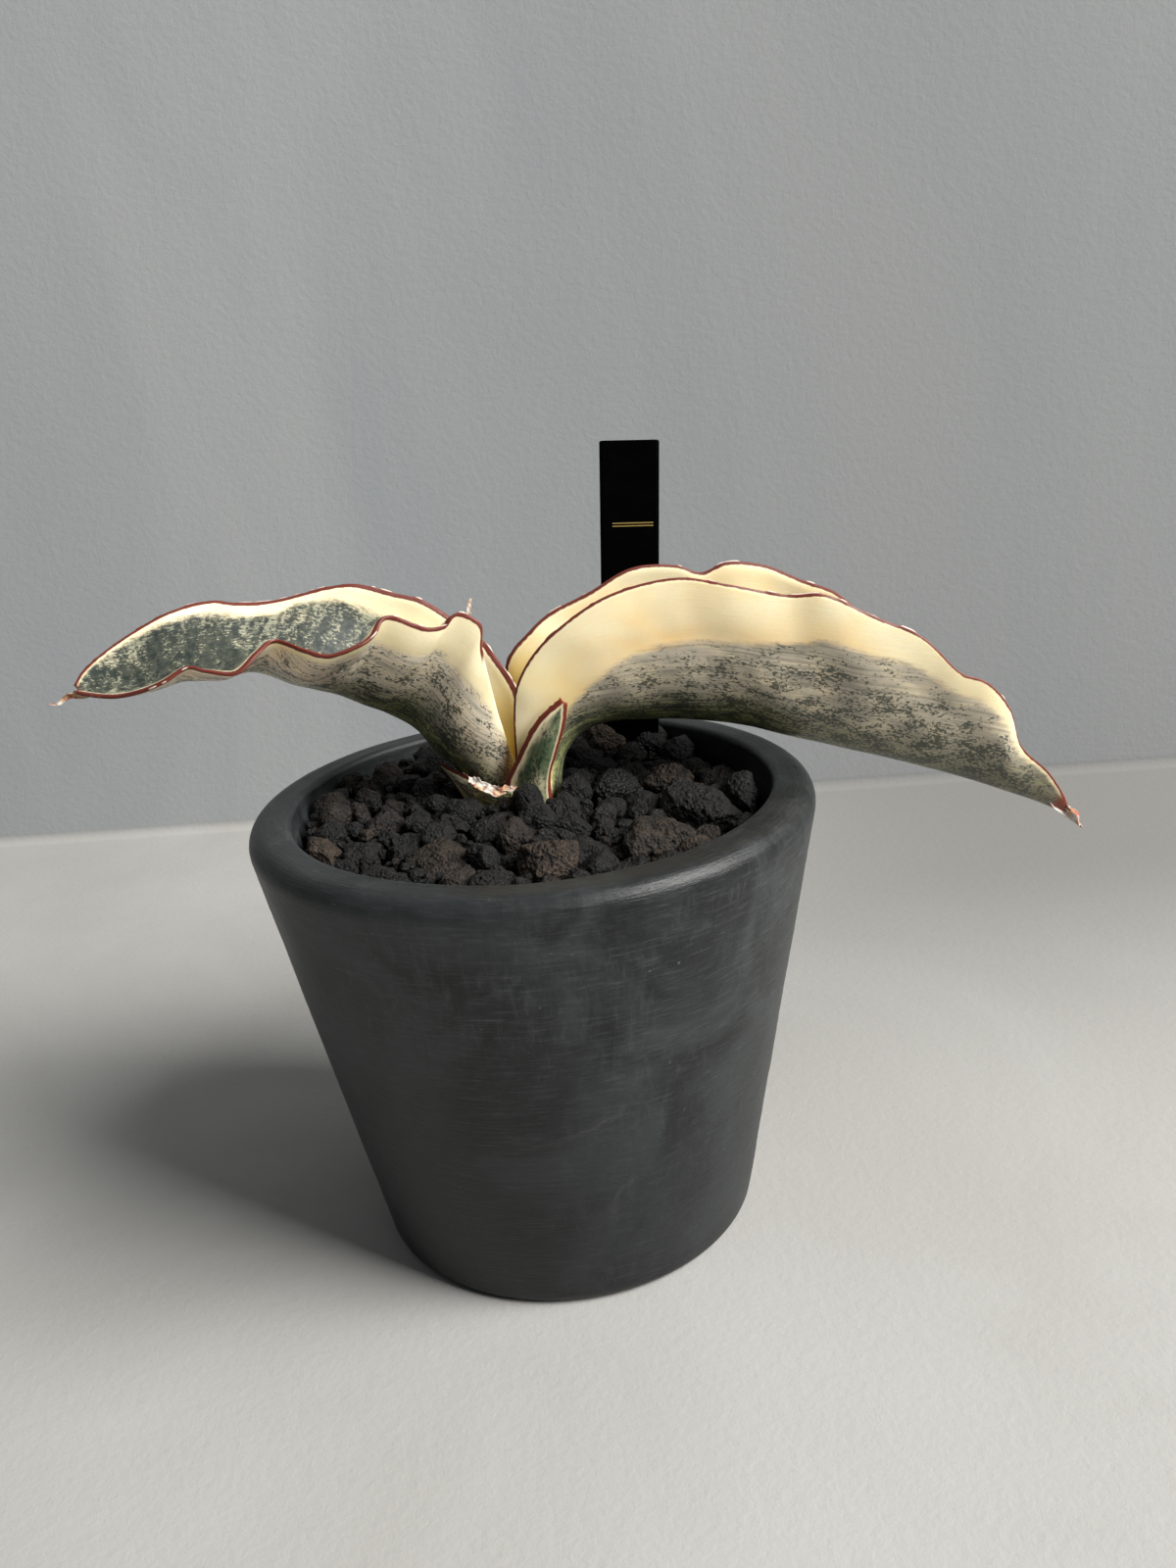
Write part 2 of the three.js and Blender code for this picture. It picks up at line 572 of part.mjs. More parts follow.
/**
 * One lava stone: an ellipsoid with three slow waves on it, cut short along each direction where it
 * would meet a wall of its cell or the pot.
 */
function lavaStone(spot, spots, seed) {
  const random = sequence(seed * 7919 + 13);
  const turn = THREE.MathUtils.degToRad(spot.turn);
  const waves = [0, 1, 2].map(() => ({
    direction: new THREE.Vector3(random() - 0.5, random() - 0.5, random() - 0.5).normalize(),
    phase: 6.28 * random(),
    pitch: 2.2 + 2 * random(),
  }));
  const walls = cellWalls(spot, spots);
  const room = innerRadius(mixAtWall) - STONE.clear;
  const ball = weld(new THREE.IcosahedronGeometry(1, 1));
  const position = ball.getAttribute('position');
  const d = new THREE.Vector3();
  for (let i = 0; i < position.count; i += 1) {
    d.fromBufferAttribute(position, i).normalize();
    const local = d.clone().applyAxisAngle(new THREE.Vector3(0, 0, 1), -turn);
    let reach = 1 / Math.hypot(local.x * 2 / spot.width, local.y * 2 / spot.depth, local.z * 2 / spot.height);
    for (const w of waves) reach *= 1 + STONE.waviness * Math.sin(w.pitch * d.dot(w.direction) + w.phase);
    for (const wall of walls) {
      const facing = d.dot(wall.normal);
      if (facing > 0) reach = Math.min(reach, wall.reach / facing);
    }
    const flat = d.x * d.x + d.y * d.y;
    if (flat > 1e-9) {
      const along = spot.x * d.x + spot.y * d.y;
      const left = room * room - spot.x ** 2 - spot.y ** 2;
      reach = Math.min(reach, (-along + Math.sqrt(along * along + flat * left)) / flat);
    }
    position.setXYZ(i, spot.x + d.x * reach, spot.y + d.y * reach, spot.z + d.z * reach);
  }
  return ball;
}

// ---------------------------------------------------------------- assembly

add('pot', pot(), 'clay');
add('drainage_net', drainageNet(), 'netPlastic');
add('drainage_gravel', drainageGravel(), 'pumice');
add('potting_mix', pottingMix(), 'pottingMix');
add('rhizome_and_roots', rhizome(), 'root');
add('right_leaf', leafSolid(RIGHT_LEAF), 'leaf');
add('left_leaf', leafSolid(LEFT_LEAF), 'leaf');
add('front_leaf', leafSolid(FRONT_LEAF), 'leafGreen');
add('dry_scale', leafSolid(DRY_SCALE), 'dryLeaf');
add('plant_label', plantLabel(), 'labelPlastic');
const spots = stoneSpots();
spots.forEach((spot, i) => {
  add(`lava_stone_${String(i + 1).padStart(2, '0')}`, lavaStone(spot, spots, i + 1), 'lava');
});

export default plant;
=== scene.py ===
"""Looks of a potted snake plant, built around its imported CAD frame.

Lengths in the classes below are millimetres in the CAD frame: origin at the centre of the pot's
underside, +Z up, -Y towards the front. `MM` turns them into Blender's metres.
"""
from __future__ import annotations

import itertools
import logging
import math
from dataclasses import dataclass, field
from enum import Enum
from typing import Sequence

import bpy
import numpy as np
from mathutils import Matrix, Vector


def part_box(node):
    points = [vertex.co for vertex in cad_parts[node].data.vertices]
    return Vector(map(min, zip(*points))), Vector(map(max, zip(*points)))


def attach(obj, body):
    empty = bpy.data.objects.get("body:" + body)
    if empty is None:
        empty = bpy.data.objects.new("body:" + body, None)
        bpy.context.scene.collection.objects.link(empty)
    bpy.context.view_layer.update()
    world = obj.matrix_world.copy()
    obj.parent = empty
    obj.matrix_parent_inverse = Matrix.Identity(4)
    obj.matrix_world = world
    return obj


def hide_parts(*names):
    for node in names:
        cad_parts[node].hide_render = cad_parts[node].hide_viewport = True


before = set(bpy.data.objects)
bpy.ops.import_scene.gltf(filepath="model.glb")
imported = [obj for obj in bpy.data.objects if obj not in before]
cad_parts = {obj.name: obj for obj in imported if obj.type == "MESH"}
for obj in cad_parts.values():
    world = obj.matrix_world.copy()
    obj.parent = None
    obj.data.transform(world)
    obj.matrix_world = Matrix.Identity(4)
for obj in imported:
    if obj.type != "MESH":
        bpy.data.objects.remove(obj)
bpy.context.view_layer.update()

MM = 0.001
BODY = "root"
Array = np.ndarray
Pairs = Sequence[tuple[float, float]]
Triple = tuple[float, float, float]
Points = Sequence[Triple]
Colour = Triple
Socket = bpy.types.NodeSocket
log = logging.getLogger("snake_plant")


# ------------------------------------------------------------------ repeatable noise on arrays

def hashed(cells: Array, seed: int) -> Array:
    """Repeatable value from -1 to 1 for each whole-number cell, by mixing the bits of its coordinates.

    Args:
        cells: whole numbers, last axis of length 3.
        seed: which of the many patterns to give.

    Returns:
        One value per cell.
    """
    c = cells.astype(np.int64).astype(np.uint64)
    mixed = c[..., 0] * np.uint64(374761393) + c[..., 1] * np.uint64(668265263)
    mixed = mixed + c[..., 2] * np.uint64(2147483629) + np.uint64(seed) * np.uint64(974634777)
    mask = np.uint64(0xFFFFFFFF)
    for shift, factor in ((13, 1274126177), (16, 2246822519), (15, 3266489917)):
        mixed = ((mixed ^ (mixed >> np.uint64(shift))) * np.uint64(factor)) & mask
    mixed = mixed ^ (mixed >> np.uint64(14))
    return mixed.astype(float) / 0x7FFFFFFF - 1.0


def lattice_noise(points: Array, seed: int) -> Array:
    """Smooth noise from -1 to 1: random lattice values blended with a quintic ease in each axis.

    Args:
        points: positions in units of the lattice, last axis of length 3.
        seed: pattern number.

    Returns:
        One value per point.
    """
    cell = np.floor(points)
    part = points - cell
    ease = part ** 3 * (part * (part * 6 - 15) + 10)
    total = np.zeros(points.shape[:-1])
    for corner in itertools.product((0, 1), repeat=3):
        weight = np.prod(np.where(np.array(corner) == 1, ease, 1 - ease), axis=-1)
        total += weight * hashed(cell + np.array(corner), seed)
    return total


def layered_noise(points: Array, seed: int, octaves: int = 3) -> Array:
    """Sum of octaves of lattice noise, each at twice the pitch and half the height of the last.

    Args:
        points: positions, last axis of length 3.
        seed: pattern number.
        octaves: how many layers.

    Returns:
        One value per point, mostly from -1 to 1.
    """
    layers = (0.5 ** k * lattice_noise(points * 2.0 ** k, seed + 31 * k) for k in range(octaves))
    return sum(layers) / 1.5


def bubble_distance(points: Array, seed: int) -> Array:
    """Distance to the nearest of the random bubble centres, one in each lattice cell.

    Args:
        points: positions in units of the bubble spacing, last axis of length 3.
        seed: pattern number.

    Returns:
        One distance per point, in units of the spacing.
    """
    cell = np.floor(points)
    nearest = np.full(points.shape[:-1], 9.0)
    for step in itertools.product((-1, 0, 1), repeat=3):
        home = cell + np.array(step)
        centre = np.stack([home[..., k] + 0.5 + 0.45 * hashed(home, seed + 7 * k) for k in range(3)], -1)
        nearest = np.minimum(nearest, np.linalg.norm(points - centre, axis=-1))
    return nearest


# ------------------------------------------------------------------ curves, grids and meshes

def walked(points: Array, power: float = 1.0) -> Array:
    """Sum, up to each point, of the distances between neighbours, each raised to a power."""
    return np.concatenate([[0.0], np.cumsum(np.linalg.norm(np.diff(points, axis=0), axis=1) ** power)])


def resample(points: Points, steps: int) -> Array:
    """Centripetal Catmull-Rom curve through points, resampled to equal steps of arc length.

    Args:
        points: the points that the curve passes through.
        steps: number of equal steps; the result has one more row than that.

    Returns:
        Array of shape (steps + 1, 3).
    """
    p = np.asarray(points, float)
    p = np.vstack([2 * p[0] - p[1], p, 2 * p[-1] - p[-2]])
    knots = walked(p, 0.5)
    pieces = []
    for i in range(1, len(p) - 2):
        t0, t1, t2, t3 = knots[i - 1:i + 3]
        t = np.linspace(t1, t2, 24, endpoint=False)[:, None]
        a1 = (t1 - t) / (t1 - t0) * p[i - 1] + (t - t0) / (t1 - t0) * p[i]
        a2 = (t2 - t) / (t2 - t1) * p[i] + (t - t1) / (t2 - t1) * p[i + 1]
        a3 = (t3 - t) / (t3 - t2) * p[i + 1] + (t - t2) / (t3 - t2) * p[i + 2]
        b1 = (t2 - t) / (t2 - t0) * a1 + (t - t0) / (t2 - t0) * a2
        b2 = (t3 - t) / (t3 - t1) * a2 + (t - t1) / (t3 - t1) * a3
        pieces.append((t2 - t) / (t2 - t1) * b1 + (t - t1) / (t2 - t1) * b2)
    fine = np.vstack([*pieces, p[-2][None]])
    length = walked(fine)
    even = np.linspace(0, length[-1], steps + 1)
    return np.stack([np.interp(even, length, fine[:, k]) for k in range(3)], axis=1)


def table(pairs: Pairs, at: Array) -> Array:
    """Straight-line interpolation in a list of (share, value) pairs."""
    shares, values = np.array(pairs).T
    return np.interp(at, shares, values)


def smooth_table(pairs: Pairs, at: Array) -> Array:
    """Interpolation in a list of (share, value) pairs with a level tangent at each pair."""
    shares, values = np.array(pairs).T
    index = np.clip(np.searchsorted(shares, at) - 1, 0, len(shares) - 2)
    t = np.clip((at - shares[index]) / (shares[index + 1] - shares[index]), 0, 1)
    return values[index] + (values[index + 1] - values[index]) * t * t * (3 - 2 * t)


def unit(vectors: Array) -> Array:
    """Vectors scaled to length one along the last axis."""
    return vectors / np.maximum(np.linalg.norm(vectors, axis=-1, keepdims=True), 1e-12)


def quads(rows: int, columns: int, start: int = 0, wrap: bool = False) -> Array:
    """Quads of a grid of points numbered row by row.

    Args:
        rows: number of rows of points.
        columns: number of points in a row.
        start: number of the first point.
        wrap: whether the last column joins the first.

    Returns:
        Array of shape (count, 4).
    """
    i, j = np.meshgrid(np.arange(rows - 1), np.arange(columns if wrap else columns - 1), indexing="ij")
    k = (j + 1) % columns
    corners = [i * columns + j, i * columns + k, (i + 1) * columns + k, (i + 1) * columns + j]
    return np.stack(corners, axis=-1).reshape(-1, 4) + start


def poled_quads(rings: int, columns: int) -> Array:
    """Quads of a shape with one point, then rings of points, then one point; a corner repeats at a pole.

    Args:
        rings: number of rings.
        columns: points in each ring.

    Returns:
        Array of shape (count, 4).
    """
    j = np.arange(columns)
    k = (j + 1) % columns
    end = rings * columns + 1
    foot = end - columns
    top = np.stack([0 * j, 0 * j, 1 + k, 1 + j], axis=1)
    base = np.stack([end + 0 * j, end + 0 * j, foot + j, foot + k], axis=1)
    return np.vstack([quads(rings, columns, 1, wrap=True), top, base])


def enclosed_volume(points: Array, faces: Array) -> float:
    """Signed volume inside quads: the sum of the tetrahedra from the origin to each half quad."""
    a, b, c, d = (points[faces[:, k]] for k in range(4))
    return float((np.cross(a, b) * c).sum() + (np.cross(a, c) * d).sum()) / 6


def linked(name: str, data: bpy.types.ID) -> bpy.types.Object:
    """A new object for a mesh, light or camera, linked to the scene."""
    made = bpy.data.objects.new(name, data)
    bpy.context.scene.collection.objects.link(made)
    return made


def stand(thing: bpy.types.Object, axes: Array, at: Triple) -> None:
    """Put a light or a camera at a point in metres, with its own axes as the columns of a matrix."""
    turn = np.eye(4)
    turn[:3, :3], turn[:3, 3] = axes, at
    thing.matrix_world = Matrix(turn.tolist())


@dataclass
class Surface:
    """A mesh in the making: points in millimetres, quads, and named values for each point."""

    points: Array
    faces: Array
    values: dict[str, Array] = field(default_factory=dict)
    uv: Array | None = None

    def facing_out(self) -> "Surface":
        """The same surface with its faces turned outward, judged by the volume they enclose."""
        if enclosed_volume(self.points, self.faces) < 0:
            self.faces = self.faces[:, ::-1]
        return self

    def object(self, name: str, material: bpy.types.Material, smooth: bool = True) -> bpy.types.Object:
        """Make the Blender object.

        Args:
            name: the piece's name.
            material: its finish.
            smooth: whether the faces are shaded smooth.

        Returns:
            The new object, linked to the scene, at the origin.
        """
        mesh = bpy.data.meshes.new(name)
        flat = [tuple(dict.fromkeys(face)) for face in self.faces.tolist()]
        mesh.from_pydata((self.points * MM).tolist(), [], flat)
        for key, data in self.values.items():
            layer = mesh.attributes.new(key, "FLOAT", "POINT")
            layer.data.foreach_set("value", np.ascontiguousarray(data, dtype=np.float32).ravel())
        if self.uv is not None:
            corner = np.zeros(len(mesh.loops), dtype=np.int32)
            mesh.loops.foreach_get("vertex_index", corner)
            layer = mesh.uv_layers.new(name="surface")
            layer.data.foreach_set("uv", self.uv[corner].astype(np.float32).ravel())
        mesh.polygons.foreach_set("use_smooth", np.full(len(mesh.polygons), smooth))
        mesh.materials.append(material)
        mesh.update()
        return linked(name, mesh)


def joined(parts: Sequence[Surface]) -> Surface:
    """Several surfaces as one, with their points renumbered.

    Args:
        parts: surfaces that all carry the same named values and no map.

    Returns:
        One surface.
    """
    starts = np.cumsum([0] + [len(part.points) for part in parts[:-1]])
    return Surface(
        np.vstack([part.points for part in parts]),
        np.vstack([part.faces + start for part, start in zip(parts, starts)]),
        {key: np.concatenate([part.values[key] for part in parts]) for key in parts[0].values},
    )


def settle(piece: bpy.types.Object, slot: str, *nodes: str) -> None:
    """Tell the frame what a finished piece rides on, and hide the CAD nodes it stands for.

    Args:
        piece: the finished object.
        slot: the record's material slot; not used.
        nodes: names of the CAD nodes that it replaces.
    """
    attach(piece, BODY)
    if nodes:
        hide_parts(*nodes)
    log.info("%s: %d faces", piece.name, len(piece.data.polygons))


# ------------------------------------------------------------------ material graphs

class Graph:
    """A material's node tree, with short calls for the nodes used in this file."""

    def __init__(self, name: str) -> None:
        """Start a material with a Principled shader.

        Args:
            name: the material's name.
        """
        self.material = bpy.data.materials.new(name)
        self.material.use_nodes = True
        self.tree = self.material.node_tree
        self.shader = self.tree.nodes["Principled BSDF"]
        self.place = self.node("ShaderNodeTexCoord").outputs["Object"]

    def node(self, kind: str, **settings: object) -> bpy.types.Node:
        """A new node with its properties set."""
        made = self.tree.nodes.new(kind)
        for key, value in settings.items():
            setattr(made, key, value)
        return made

    def feed(self, socket: Socket, value: object) -> None:
        """Link an output to a socket, or set a plain value on it."""
        if isinstance(value, Socket):
            self.tree.links.new(value, socket)
        elif isinstance(value, tuple) and socket.type == "RGBA":
            socket.default_value = (*value, 1.0)
        else:
            socket.default_value = value

    def value(self, name: str) -> Socket:
        """The number that the mesh carries under a name."""
        return self.node("ShaderNodeAttribute", attribute_name=name).outputs["Fac"]

    def axes(self, where: Socket) -> bpy.types.bpy_prop_collection:
        """Coordinates split in their X, Y and Z outputs."""
        made = self.node("ShaderNodeSeparateXYZ")
        self.feed(made.inputs[0], where)
        return made.outputs

    def surface_map(self) -> Socket:
        """The piece's own map, in centimetres along and across."""
        return self.node("ShaderNodeUVMap", uv_map="surface").outputs["UV"]

    def stretched(self, where: Socket, scale: Triple, turn: float = 0.0) -> Socket:
        """Coordinates scaled along each axis, after a turn about the third."""
        made = self.node("ShaderNodeMapping")
        self.feed(made.inputs["Vector"], where)
        made.inputs["Scale"].default_value = scale
        made.inputs["Rotation"].default_value = (0.0, 0.0, turn)
        return made.outputs["Vector"]

    def noise(self, where: Socket, scale: float, detail: float = 3.0,
              rough: float = 0.55, bend: float = 0.0) -> Socket:
        """Cloudy noise from 0 to 1.

        Args:
            where: coordinates.
            scale: features per unit.
            detail: number of finer layers.
            rough: strength of the finer layers.
            bend: how far the pattern is twisted.

        Returns:
            The noise value.
        """
        made = self.node("ShaderNodeTexNoise")
        self.feed(made.inputs["Vector"], where)
        settings = {"Scale": scale, "Detail": detail, "Roughness": rough, "Distortion": bend}
        for key, setting in settings.items():
            made.inputs[key].default_value = setting
        return made.outputs["Fac"]

    def cells(self, where: Socket, scale: float, feature: str = "F1") -> Socket:
        """Distance to the nearest random centre, for pits and grains."""
        made = self.node("ShaderNodeTexVoronoi", feature=feature)
        self.feed(made.inputs["Vector"], where)
        made.inputs["Scale"].default_value = scale
        return made.outputs["Distance"]

    def math(self, operation: str, a: object, b: object = 0.0) -> Socket:
        """One arithmetic step on two numbers."""
        made = self.node("ShaderNodeMath", operation=operation)
        self.feed(made.inputs[0], a)
        self.feed(made.inputs[1], b)
        return made.outputs[0]

    def plus(self, a: object, b: object) -> Socket:
        """Sum of two numbers."""
        return self.math("ADD", a, b)

    def minus(self, a: object, b: object) -> Socket:
        """First number less the second."""
        return self.math("SUBTRACT", a, b)

    def times(self, a: object, b: object) -> Socket:
        """Product of two numbers."""
        return self.math("MULTIPLY", a, b)

    def step(self, value: Socket, low: float, high: float,
             out_low: float = 0.0, out_high: float = 1.0) -> Socket:
        """Smooth change from one output to another as a value goes from low to high."""
        made = self.node("ShaderNodeMapRange", interpolation_type="SMOOTHSTEP")
        self.feed(made.inputs["Value"], value)
        settings = {"From Min": low, "From Max": high, "To Min": out_low, "To Max": out_high}
        for key, setting in settings.items():
            made.inputs[key].default_value = setting
        return made.outputs["Result"]

    def mix(self, share: object, a: object, b: object, blend: str = "MIX") -> Socket:
        """Two colours mixed by a share."""
        made = self.node("ShaderNodeMix", data_type="RGBA", blend_type=blend)
        self.feed(made.inputs["Factor"], share)
        self.feed(made.inputs["A"] if made.inputs["A"].type == "RGBA" else made.inputs[6], a)
        self.feed(made.inputs["B"] if made.inputs["B"].type == "RGBA" else made.inputs[7], b)
        return made.outputs[2]

    def ramp(self, value: Socket, stops: Sequence[tuple[float, Colour]]) -> Socket:
        """Colour looked up along a row of stops."""
        made = self.node("ShaderNodeValToRGB")
        self.feed(made.inputs["Fac"], value)
        stops = list(stops)
        row = made.color_ramp.elements
        for index, (at, colour) in enumerate(stops):
            element = row[index] if index < len(row) else row.new(at)
            element.position = at
            element.color = (*colour, 1.0)
        return made.outputs["Color"]

    def bump(self, height: Socket, depth_mm: float, strength: float = 1.0,
             after: Socket | None = None) -> Socket:
        """Relief from a height value.

        Args:
            height: value from 0 to 1.
            depth_mm: height of the full range in millimetres.
            strength: share of the relief that shows.
            after: relief that this one is laid over.

        Returns:
            The bent normal.
        """
        made = self.node("ShaderNodeBump")
        self.feed(made.inputs["Height"], height)
        made.inputs["Distance"].default_value = depth_mm * MM
        made.inputs["Strength"].default_value = strength
        if after is not None:
            self.feed(made.inputs["Normal"], after)
        return made.outputs["Normal"]

    def finish(self, **inputs: object) -> bpy.types.Material:
        """Set or link the shader's inputs, named with underscores for spaces, and give the material."""
        for key, value in inputs.items():
            self.feed(self.shader.inputs[key.replace("_", " ")], value)
        return self.material


@dataclass(frozen=True)
class CharcoalClay:
    """Dark unglazed clay with a brushed patina, scuffs and dust, and painted shade towards the foot and on
    the rim.
    """

    dark: Colour = (0.0064, 0.0076, 0.0082)
    light: Colour = (0.0400, 0.0450, 0.0468)
    scuff: Colour = (0.095, 0.102, 0.105)
    dust: Colour = (0.17, 0.17, 0.16)
    shade_from: float = 0.088     # height in metres from which the wall darkens downward
    rim_shade_from: float = 0.0940      # height from which painted shade darkens the rim upward

    def material(self) -> bpy.types.Material:
        """Mottled clay, strokes round and down the wall, fine scratches, dust in patches, painted shade at
        both ends.
        """
        g = Graph("charcoal_clay")
        split = g.axes(g.place)
        wound = g.node("ShaderNodeCombineXYZ")
        for axis in "XY":
            g.feed(wound.inputs[axis], split[axis])
        g.feed(wound.inputs["Z"], g.value("ring"))
        wall = wound.outputs[0]
        cloud = g.noise(g.place, 38.0, 6.0, 0.66, 0.7)
        tone = g.mix(g.step(cloud, 0.32, 0.68), self.dark, self.light)
        round_strokes = g.noise(g.stretched(wall, (0.10, 0.10, 1.0)), 1500.0, 4.0, 0.7)
        tone = g.mix(g.step(round_strokes, 0.48, 0.78, 0.0, 0.38), tone, self.scuff)
        down = g.noise(g.stretched(wall, (1.0, 1.0, 0.16)), 620.0, 5.0, 0.72, 0.5)
        worn = g.step(g.noise(g.place, 24.0, 4.0, 0.6, 0.6), 0.40, 0.68)
        tone = g.mix(g.times(g.step(down, 0.47, 0.70, 0.0, 0.30), worn), tone, self.scuff)
        hairs = g.noise(g.stretched(g.place, (0.12, 0.12, 1.0), 0.3), 2600.0, 3.0, 0.6, 1.2)
        scratch = g.times(g.step(hairs, 0.66, 0.72), g.step(cloud, 0.5, 0.62))
        tone = g.mix(g.times(scratch, 0.45), tone, self.dust)
        grain = g.noise(g.place, 1700.0, 3.0, 0.7)
        patch = g.step(g.noise(g.place, 34.0, 5.0, 0.72, 0.8), 0.60, 0.72)
        tone = g.mix(g.times(patch, g.step(grain, 0.35, 0.7, 0.1, 0.42)), tone, self.dust)
        speck = g.step(g.noise(g.place, 700.0, 2.0, 0.5), 0.74, 0.79)
        tone = g.mix(g.times(speck, 0.5), tone, self.dust)
        # painted shade: darker towards the foot and on the rim, where less light falls
        low = g.step(split["Z"], self.shade_from, 0.015, 0.0, 0.62)
        top = g.step(split["Z"], self.rim_shade_from, 0.0985, 0.0, 0.50)
        tone = g.mix(g.plus(low, top), tone, self.dark)
        rough = g.step(cloud, 0.25, 0.75, 0.34, 0.52)
        relief = g.bump(round_strokes, 0.22, 0.7)
        relief = g.bump(down, 0.10, 0.4, relief)
        relief = g.bump(grain, 0.04, 0.5, relief)
        return g.finish(Base_Color=tone, Roughness=rough, Normal=relief, Specular_IOR_Level=0.30)


@dataclass(frozen=True)
class LavaRock:
    """Dull bubbly rock; each stone carries its own tint from black to brown, and its own gloss."""

    black: Colour = (0.0030, 0.0030, 0.0030)
    grey: Colour = (0.0095, 0.0092, 0.0090)
    brown: Colour = (0.054, 0.037, 0.025)
    # colour of the painted glints: pale specks that stand in for highlights
    edge: Colour = (0.16, 0.156, 0.15)

    def material(self) -> bpy.types.Material:
        """Tint by stone, painted shade in the pits, painted glints as pale specks, and two sizes of pits as
        relief.
        """
        g = Graph("lava_rock")
        tint = g.value("tint")
        pit = g.value("pit")
        cloud = g.noise(g.place, 320.0, 4.0, 0.65)
        tone = g.mix(g.step(cloud, 0.34, 0.7), self.black, self.grey)
        tone = g.mix(g.times(tint, g.step(cloud, 0.25, 0.6, 0.4, 1.0)), tone, self.brown)
        small = g.cells(g.place, 1500.0)
        crumbs = g.noise(g.place, 2600.0, 3.0, 0.7)
        # painted shade: black in the middle of the fine bump pits, and in the pits and between the nodules
        # by the stone's pit share
        tone = g.mix(g.step(small, 0.22, 0.6, 0.55, 0.0), tone, self.black)
        tone = g.mix(pit, tone, self.black)
        # painted highlight: pale glints on the crumbs
        glint = g.times(g.step(crumbs, 0.62, 0.72), 0.5)
        tone = g.mix(glint, tone, self.edge)
        relief = g.bump(small, 0.45, 1.0)
        relief = g.bump(crumbs, 0.30, 1.0, relief)
        rough = g.step(g.value("gloss"), 0.0, 1.0, 0.66, 0.28)
        return g.finish(Base_Color=tone, Roughness=rough, Normal=relief, Specular_IOR_Level=0.26)


